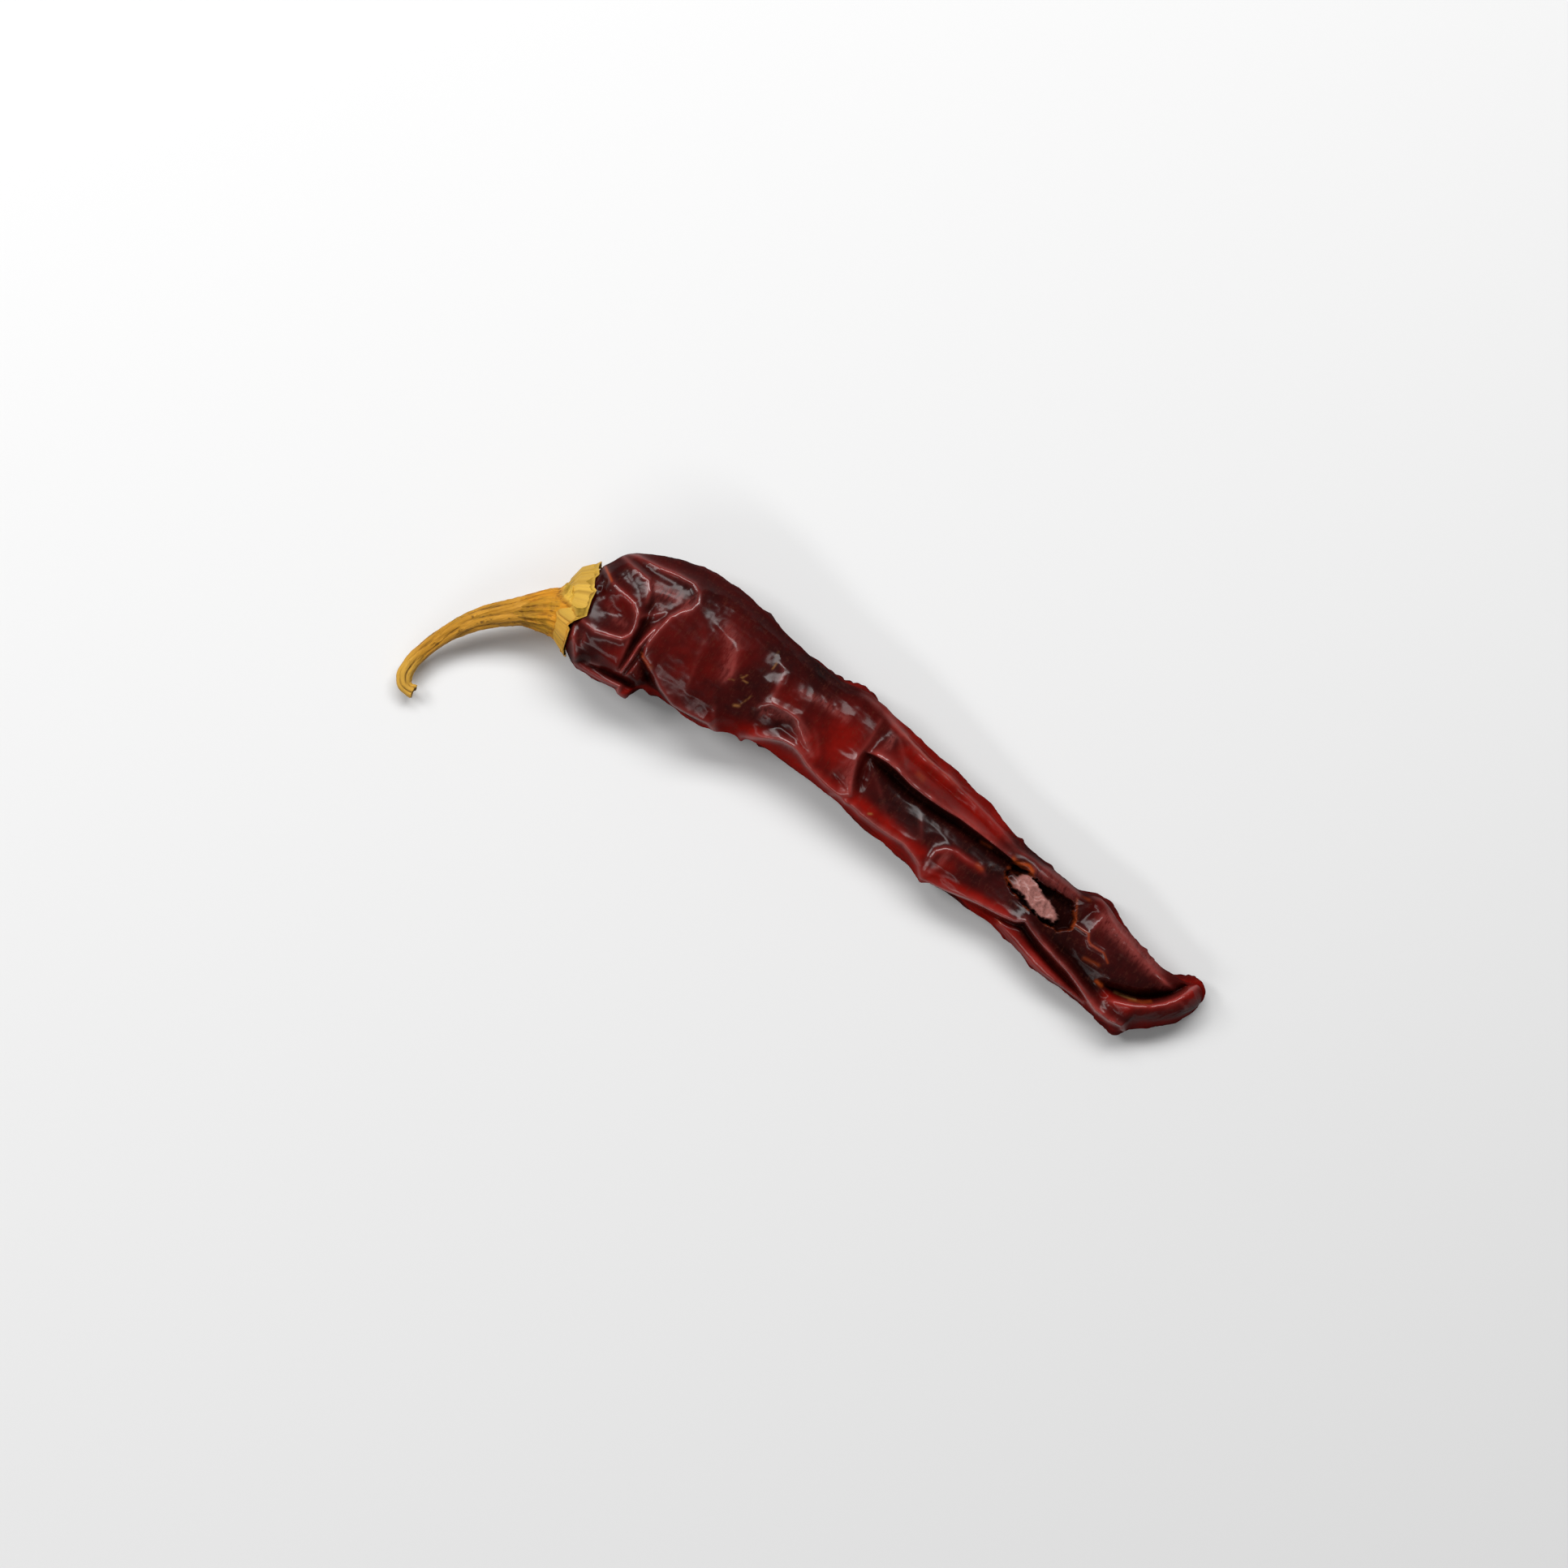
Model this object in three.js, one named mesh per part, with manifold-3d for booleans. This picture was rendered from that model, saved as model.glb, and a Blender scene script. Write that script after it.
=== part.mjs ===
// A dried chilli pepper lying on its side, in its three organs: the leathery, creased pod, the
// calyx that caps the pod's shoulder, and the hooked stem. Millimetres: +X runs from the calyx to
// the pod's tip, +Z is up, and the pod rests on the plane z = 0.

import * as THREE from 'three';
import { ParametricGeometry } from 'three/addons/geometries/ParametricGeometry.js';
import { mergeVertices } from 'three/addons/utils/BufferGeometryUtils.js';
import Module from 'manifold-3d';

// Driving dimensions
const POD_LENGTH = 114.5; // shoulder to tip
const POD_WIDTH = 24; // over both bulges, seen from above
const POD_HEIGHT = 14; // table to the crest of the shoulder
const CALYX_WIDTH = 14.4; // across the rim
const CALYX_HEIGHT = 11.6; // rim, bottom to top
const STEM_LENGTH = 30; // along its curve, from the calyx to the cut end
const STEM_ROOT_WIDTH = 5.4; // where it leaves the calyx
const STEM_WIDTH = 2.7; // along the shank
const STEM_END_WIDTH = 2; // at the shrivelled cut end
const STEM_END_CLEARANCE = 0.5; // table to the underside of the hooked end
const GAP = 0.3; // between neighbouring organs

const SAME_POINT = 1e-4; // mm within which two corners of a skin are one

// How finely the surfaces are divided
const POD_STEPS = 96;
const POD_SIDES = 30;
const CALYX_STEPS = 12;
const CALYX_SIDES = 26;
const STEM_STEPS = 34;
const STEM_SIDES = 10;

// The pod as drawn, at evenly held proportions that the driving sizes stretch. Each station holds
// its distance from the shoulder, then its low side, high side, crest height, seam height (where
// it is widest) and the height of its underside. An underside below zero is pressed flat.
const STATIONS = [
  [0, -7.5, 11, 12.5, 6.5, 0.8],
  [5, -8.2, 12.4, 13.3, 6.2, 0],
  [10, -8, 14.7, 13.6, 5.9, -1],
  [14.5, -8, 15.8, 13.9, 5.6, -1.4],
  [16.5, -5, 16, 14, 5.5, -1.4],
  [26.5, -4.6, 15.2, 13.2, 5.1, -1.2],
  [33.5, -2.1, 14.1, 11.8, 4.8, -0.4],
  [45.5, -2.4, 13.4, 10.6, 4.8, 0.8],
  [56.5, -3.5, 11.4, 9.8, 4.5, 1.2],
  [69.5, -5.2, 9.4, 8.9, 4.2, 1.2],
  [81.5, -4.8, 7.7, 7.9, 3.8, 0.8],
  [88.5, -6.2, 6.4, 7.6, 3.6, 0.3],
  [92.5, -6.8, 7.5, 7.6, 3.4, -0.3],
  [101.5, -7.6, 5, 7, 3.2, -0.6],
  [105, -7.5, 4.4, 6.6, 3, -0.5],
  [108.5, -5.2, 4, 6, 3, 0],
  [111.5, -3, 5, 5.4, 3, 0.5],
  [114.5, 0, 5.2, 4.8, 3, 1],
];
const SHOULDER_CAP = { depth: 8, power: 3.5 }; // a blunt round end
const TIP_CAP = { depth: 3, power: 2 };
const SECTION_POWER = 2.5; // 2 is an ellipse, more is squarer
const END_CROWDING = 0.09; // how far stations along the pod are drawn towards its ends
const CREASED_FROM = 0.1; // shares of the section's height over which the creases fade in
const CREASED_FULLY = 0.7;

// The large creases on top, in the same drawing: a line in plan, how far the skin is pushed up
// along it (down where negative), and how far to either side that spreads.
const CREASES = [
  { rise: 1.1, spread: 1.4, line: [[2, 10.5], [8, 11.8], [14, 12.4], [16, 10], [13.5, 5], [13.4, 1]] },
  { rise: 1, spread: 1.3, line: [[3, 6], [8, 5], [10.4, 2], [9.5, -0.7], [4, -1.6]] },
  { rise: -1.8, spread: 2.2, line: [[5.5, 2.2], [7, 2]] },
  { rise: -1.6, spread: 1.1, line: [[11.3, 3], [11.4, -4]] },
  { rise: -2.2, spread: 1.6, line: [[13.6, -2], [16, -3.8]] },
  { rise: 1.2, spread: 1.5, line: [[34, -1.6], [40, 0.8], [52, -1.8]] },
  { rise: -1.2, spread: 2, line: [[46, 10], [49, 4], [50, 0]] },
  { rise: 1.6, spread: 1.5, line: [[50, 7.2], [56, 7], [78, 6]] },
  { rise: -2, spread: 1.4, line: [[52, 4.8], [76, 4.2]] },
  { rise: 1.3, spread: 1.6, line: [[68, -4], [78, -3], [85, -1.3], [92, -3.6], [106, -6.4]] },
  { rise: -1.8, spread: 2.2, line: [[81, 2.4], [90, 2.4]] },
  { rise: 0.9, spread: 2.2, line: [[94, 6.4], [102, 3.6], [109, 2.3]] },
  { rise: -2, spread: 1, line: [[100, -3.2], [106, -2.2], [110, 0.8]] },
];

// The stem's centreline in plan, from the calyx outwards, as drawn. STEM_LENGTH stretches it.
const STEM_ROUTE = [
  [0, 0],
  [-5.7, -5.1],
  [-8.8, -9.9],
  [-10.7, -14.9],
  [-11.5, -18.6],
  [-10.9, -20.9],
  [-9.4, -21.5],
  [-8.1, -21],
];
const SHANK_START = 0.32; // share of the stem's length over which its root tapers
const SHRIVEL_START = 0.6; // share of the stem's length from which it thins towards its end
const LEAD_SHARE = 1 / 3; // of a curve's span that each of its ends runs straight

// Where the calyx meets the stem and the pod, in plan, from the pod's blunt end
const NECK_AT = [-4.8, -4.1];
const NECK_HEADING = [0.77, 0.64];
const RIM_DEPTH = 1.6; // from the shoulder's end to the middle of the rim
const RIM_INSET = 0.138; // from the shoulder's low side to the rim's low end
const RIM_HEADING = [0.975, 0.22];
const FLARE_POWER = 1.5; // how late the calyx opens from its neck to its rim

const drawnLength = STATIONS.at(-1)[0];
const drawnWidth = Math.max(...STATIONS.map((s) => s[2])) - Math.min(...STATIONS.map((s) => s[1]));
const drawnHeight = Math.max(...STATIONS.map((s) => s[3]));
const widthScale = POD_WIDTH / drawnWidth;
const heightScale = POD_HEIGHT / drawnHeight;
const shoulderHeight = STATIONS[0][4] * heightScale;
const shoulderLowSide = STATIONS[0][1] * widthScale;

const wasm = await Module();
wasm.setup();

// A row of numbers read between stations along one smooth cubic through them.
function between(stations, at) {
  const last = stations.length - 1;
  const next = THREE.MathUtils.clamp(stations.filter((s) => s[0] <= at).length, 1, last);
  const slope = (k, c) => {
    const before = stations[Math.max(k - 1, 0)];
    const after = stations[Math.min(k + 1, last)];
    return (after[c] - before[c]) / (after[0] - before[0]);
  };
  const from = stations[next - 1];
  const to = stations[next];
  const span = to[0] - from[0];
  const t = THREE.MathUtils.clamp((at - from[0]) / span, 0, 1);
  const blend = t * t * (3 - 2 * t);
  return from.map((value, c) => value * (1 - blend) + to[c] * blend
    + span * t * (1 - t) * ((1 - t) * slope(next - 1, c) - t * slope(next, c)));
}

// Share of full size at a distance in from a rounded end.
function rounded(distance, { depth, power }) {
  const left = 1 - Math.min(Math.max(distance / depth, 0), 1);
  return (1 - left ** power) ** (1 / power);
}

// Shortest distance in plan from a point to a line of straight runs.
function distanceTo(line, x, y) {
  let least = Infinity;
  for (let k = 1; k < line.length; k++) {
    const [ax, ay] = line[k - 1];
    const [bx, by] = line[k];
    const run = (bx - ax) ** 2 + (by - ay) ** 2;
    const t = THREE.MathUtils.clamp(((x - ax) * (bx - ax) + (y - ay) * (by - ay)) / run, 0, 1);
    least = Math.min(least, Math.hypot(x - ax - t * (bx - ax), y - ay - t * (by - ay)));
  }
  return least;
}

// How far the creases push the top skin up at a point of the drawing: a bell over each line.
function creased(x, y) {
  return CREASES.reduce((sum, { rise, spread, line }) => (
    sum + rise * Math.exp(-((distanceTo(line, x, y) / spread) ** 2))
  ), 0);
}

// A signed power, so that a circle's sine and cosine trace a squarer oval.
function squared(value) {
  return Math.sign(value) * Math.abs(value) ** (2 / SECTION_POWER);
}

// A point of the pod's skin: along runs from shoulder to tip, turn goes once round the section,
// and grow moves the skin outwards everywhere.
function podPoint(along, turn, grow, target) {
  const eased = along - Math.sin(2 * Math.PI * along) * END_CROWDING;
  const at = eased * drawnLength;
  const [, low, high, crest, seam, under] = between(STATIONS, at);
  const size = Math.min(rounded(at, SHOULDER_CAP), rounded(drawnLength - at, TIP_CAP));
  const across = squared(Math.cos(turn));
  const up = squared(Math.sin(turn));
  const y = (low + high) / 2 + across * size * (high - low) / 2;
  const rise = up > 0 ? crest - seam : seam - under;
  const topSkin = THREE.MathUtils.smoothstep(up, CREASED_FROM, CREASED_FULLY) * size;
  const z = seam + up * size * rise + topSkin * creased(at, y);
  target.set(
    eased * (POD_LENGTH + 2 * grow) - grow,
    y * widthScale + across * size * grow,
    Math.max(z * heightScale + up * size * grow, -grow),
  );
}

// A closed skin drawn by a function of two shares, with its seam and its end points joined.
function closedSkin(draw, steps, sides) {
  const skin = new ParametricGeometry(draw, steps, sides);
  skin.deleteAttribute('normal');
  skin.deleteAttribute('uv');
  const merged = mergeVertices(skin, SAME_POINT);
  const corners = Array.from(merged.index.array);
  const kept = [];
  for (let k = 0; k < corners.length; k += 3) {
    const [a, b, c] = corners.slice(k, k + 3);
    if (a !== b && b !== c && c !== a) kept.push(a, b, c);
  }
  merged.setIndex(kept);
  return merged;
}

function podSkin(grow) {
  return closedSkin((u, v, target) => podPoint(u, -2 * Math.PI * v, grow, target), POD_STEPS, POD_SIDES);
}

// A solid carried along a curve, with flat ends: its half width and half height are functions of
// the share of the curve's length.
function carried(curve, halfWidth, halfHeight, steps, sides) {
  const upright = new THREE.Vector3(0, 0, 1);
  const draw = (u, v, target) => {
    const ring = Math.round(u * steps);
    const share = THREE.MathUtils.clamp((ring - 1) / (steps - 2), 0, 1);
    const open = ring === 0 || ring === steps ? 0 : 1;
    const heading = curve.getTangentAt(share);
    const side = new THREE.Vector3().crossVectors(upright, heading).normalize();
    const top = new THREE.Vector3().crossVectors(heading, side);
    const turn = -2 * Math.PI * v;
    target.copy(curve.getPointAt(share));
    target.addScaledVector(side, open * halfWidth(share) * Math.cos(turn));
    target.addScaledVector(top, open * halfHeight(share) * Math.sin(turn));
  };
  return closedSkin(draw, steps, sides);
}

function toSolid(geometry) {
  return new wasm.Manifold(new wasm.Mesh({
    numProp: 3,
    vertProperties: new Float32Array(geometry.attributes.position.array),
    triVerts: new Uint32Array(geometry.index.array),
  }));
}

function toGeometry(solid) {
  const mesh = solid.getMesh();
  const geometry = new THREE.BufferGeometry();
  geometry.setAttribute('position', new THREE.BufferAttribute(mesh.vertProperties, 3));
  geometry.setIndex(new THREE.BufferAttribute(mesh.triVerts, 1));
  return geometry;
}

// The middle of the shoulder, which the calyx and the stem are placed from.
function fromShoulder([x, y], z = shoulderHeight) {
  return new THREE.Vector3(x, y, z);
}

// The calyx opens like a trumpet from the stem's width to its rim, and is hollowed by the pod.
function calyxGeometry() {
  const neck = fromShoulder(NECK_AT);
  const rim = fromShoulder([RIM_DEPTH, shoulderLowSide + RIM_INSET + CALYX_WIDTH / 2]);
  const lead = neck.distanceTo(rim) * LEAD_SHARE;
  const axis = new THREE.CubicBezierCurve3(
    neck,
    neck.clone().add(fromShoulder(NECK_HEADING, 0).setLength(lead)),
    rim.clone().sub(fromShoulder(RIM_HEADING, 0).setLength(lead)),
    rim,
  );
  const opening = (rimWidth) => (share) => (
    THREE.MathUtils.lerp(STEM_ROOT_WIDTH, rimWidth, share ** FLARE_POWER) / 2
  );
  const trumpet = carried(axis, opening(CALYX_WIDTH), opening(CALYX_HEIGHT), CALYX_STEPS, CALYX_SIDES);
  return toGeometry(toSolid(trumpet).subtract(toSolid(podSkin(GAP))));
}

// The stem leaves the calyx square to its neck, droops towards the table and hooks at its end.
function stemGeometry() {
  const heading = fromShoulder(NECK_HEADING, 0).normalize();
  const root = fromShoulder(NECK_AT).addScaledVector(heading, -GAP);
  const drawn = STEM_ROUTE.map(([x, y]) => new THREE.Vector2(x, y));
  const drawnStem = drawn.slice(1).reduce((sum, p, k) => sum + p.distanceTo(drawn[k]), 0);
  const stretch = STEM_LENGTH / drawnStem;
  const endHeight = STEM_END_CLEARANCE + STEM_WIDTH / 2;
  const points = drawn.map((p, k) => {
    const droop = THREE.MathUtils.smoothstep(k / (drawn.length - 1), 0, 1);
    const z = THREE.MathUtils.lerp(root.z, endHeight, droop);
    return new THREE.Vector3(root.x + p.x * stretch, root.y + p.y * stretch, z);
  });
  points.splice(1, 0, root.clone().addScaledVector(heading, -STEM_ROOT_WIDTH * LEAD_SHARE));
  const width = (share) => {
    const taper = THREE.MathUtils.smoothstep(share, 0, SHANK_START);
    const shrivel = THREE.MathUtils.smoothstep(share, SHRIVEL_START, 1);
    const shank = THREE.MathUtils.lerp(STEM_WIDTH, STEM_END_WIDTH, shrivel);
    return THREE.MathUtils.lerp(STEM_ROOT_WIDTH, shank, taper) / 2;
  };
  return carried(new THREE.CatmullRomCurve3(points), width, width, STEM_STEPS, STEM_SIDES);
}

function organ(name, geometry, color, roughness) {
  geometry.computeVertexNormals();
  const material = new THREE.MeshStandardMaterial({ color, roughness, metalness: 0 });
  const mesh = new THREE.Mesh(geometry, material);
  mesh.name = name;
  return mesh;
}

const pepper = new THREE.Group();
pepper.add(organ('pod', podSkin(0), 0x45100f, 0.35));
pepper.add(organ('calyx', calyxGeometry(), 0xb0913f, 0.8));
pepper.add(organ('stem', stemGeometry(), 0xa07a33, 0.75));

// The origin is on the table, under the middle of the whole pepper.
const box = new THREE.Box3().setFromObject(pepper);
pepper.position.set(-(box.min.x + box.max.x) / 2, -(box.min.y + box.max.y) / 2, -box.min.z);

export default pepper;
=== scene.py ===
"""A dried chilli pepper on a pale table: a creased, leathery pod, its papery calyx and the hooked stem.

The pepper is drawn in millimetres, in plan from the calyx's rim (x along the pod, y across it), and
then placed in the box that its CAD pod fills.
"""

import math
from functools import partial

import bpy
import numpy as np
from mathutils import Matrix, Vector


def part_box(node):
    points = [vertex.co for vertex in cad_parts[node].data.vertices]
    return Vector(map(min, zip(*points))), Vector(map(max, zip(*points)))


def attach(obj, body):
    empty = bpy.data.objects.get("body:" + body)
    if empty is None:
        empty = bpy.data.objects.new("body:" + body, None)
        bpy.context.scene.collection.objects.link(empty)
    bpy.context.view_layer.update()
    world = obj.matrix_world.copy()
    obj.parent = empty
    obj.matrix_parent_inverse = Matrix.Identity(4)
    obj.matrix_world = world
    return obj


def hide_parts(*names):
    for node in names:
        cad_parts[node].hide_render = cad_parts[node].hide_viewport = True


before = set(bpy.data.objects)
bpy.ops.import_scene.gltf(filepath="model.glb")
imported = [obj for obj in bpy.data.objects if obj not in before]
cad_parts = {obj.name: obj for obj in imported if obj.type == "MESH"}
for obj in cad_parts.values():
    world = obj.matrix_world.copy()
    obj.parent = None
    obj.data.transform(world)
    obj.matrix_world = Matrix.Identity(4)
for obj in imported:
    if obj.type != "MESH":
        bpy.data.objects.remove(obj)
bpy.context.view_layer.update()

MM = 0.001
TAU = 2 * math.pi

# ---- the drawing and its place

DRAWN_LOW = np.array([-1.5, -8.2, 0.0])  # the drawn pod's corners, in mm
DRAWN_HIGH = np.array([113.0, 16.1, 14.9])
POD_LOW, POD_HIGH = (np.array(corner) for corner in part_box("pod"))
CALYX_LOW, CALYX_HIGH = (np.array(corner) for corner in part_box("calyx"))
SEAM_AT_SHOULDER = (CALYX_LOW[2] + CALYX_HIGH[2]) / 2 / MM  # height of the pepper's axis there


def placed(points):
    """Points of the drawing in metres in the shared frame: the drawn pod's box is laid on the CAD pod's."""
    share = (np.asarray(points, float) - DRAWN_LOW) / (DRAWN_HIGH - DRAWN_LOW)
    return POD_LOW + share * (POD_HIGH - POD_LOW)


# The pod at stations along it: low side, high side, crest height, seam height, underside height.
# An underside below zero is pressed flat on the table.
STATIONS = np.array([
    (-1.5, -5.5, 9, 12.3, 6.5, .8), (0, -6.9, 10.6, 12.6, 6.5, .4), (1.6, -7.5, 11.6, 12.9, 6.4, .2),
    (3.5, -8.1, 12.4, 13.1, 6.2, 0), (8, -8, 14.4, 13.4, 6, -.8), (12, -8, 15.5, 13.6, 5.7, -1.3),
    (13.6, -8.1, 15.8, 13.8, 5.6, -1.4), (14.4, -5.3, 15.9, 13.9, 5.5, -1.4),
    (20, -4.9, 15.9, 14, 5.4, -1.3), (25, -4.7, 15.3, 13.2, 5.2, -1.1), (28, -3.9, 14.7, 12.5, 5, -.9),
    (32, -2.1, 14.1, 11.8, 4.8, -.4), (36, -2, 13.5, 11.2, 4.8, .2), (40, -2.2, 13.2, 10.8, 4.8, .6),
    (44, -2.4, 13.6, 10.5, 4.8, .8), (50, -2.9, 12.3, 10, 4.6, 1), (55, -3.5, 11.4, 9.5, 4.5, 1.2),
    (60, -4, 10.8, 9.2, 4.4, 1.2), (66, -5.1, 9.9, 8.8, 4.2, 1.2), (72, -5.1, 8.6, 8.4, 4, 1),
    (80, -4.8, 7.6, 7.9, 3.8, .8), (85, -5.6, 6.9, 7.6, 3.7, .5), (88, -6.2, 6.7, 7.5, 3.6, .3),
    (90.5, -6.7, 7.6, 7.5, 3.5, 0), (92.5, -6.9, 7.5, 7.5, 3.4, -.2), (95, -7.2, 6.2, 7.3, 3.3, -.5),
    (100, -7.7, 4.9, 6.9, 3.2, -.6), (104.7, -8.1, 3.7, 6.3, 3.1, -.5), (105.4, -6.6, 3.6, 6.2, 3, -.4),
    (108, -4.6, 4.1, 5.7, 3, 0), (110, -3, 4.8, 5.2, 3, .4), (112, -.6, 5, 4.6, 3, .9),
    (113, .8, 4.8, 4.4, 3, 1.2),
])
STATION_ROUNDING = 0.45  # mm over which the corners between stations are rounded off
SHOULDER_CAP = (8.0, 3.5)  # depth in mm and power of the blunt end
TIP_CAP = (2.2, 2.0)
SECTION_POWER = 2.5
POD_STEPS = 600
RING_GATHERING = 0.09  # how strongly the rings gather towards both ends
TOP_SIDES = 124
UNDER_SIDES = 38
UNDER_GATHERING = 0.1  # how strongly the underside's columns gather towards the seams

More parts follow.
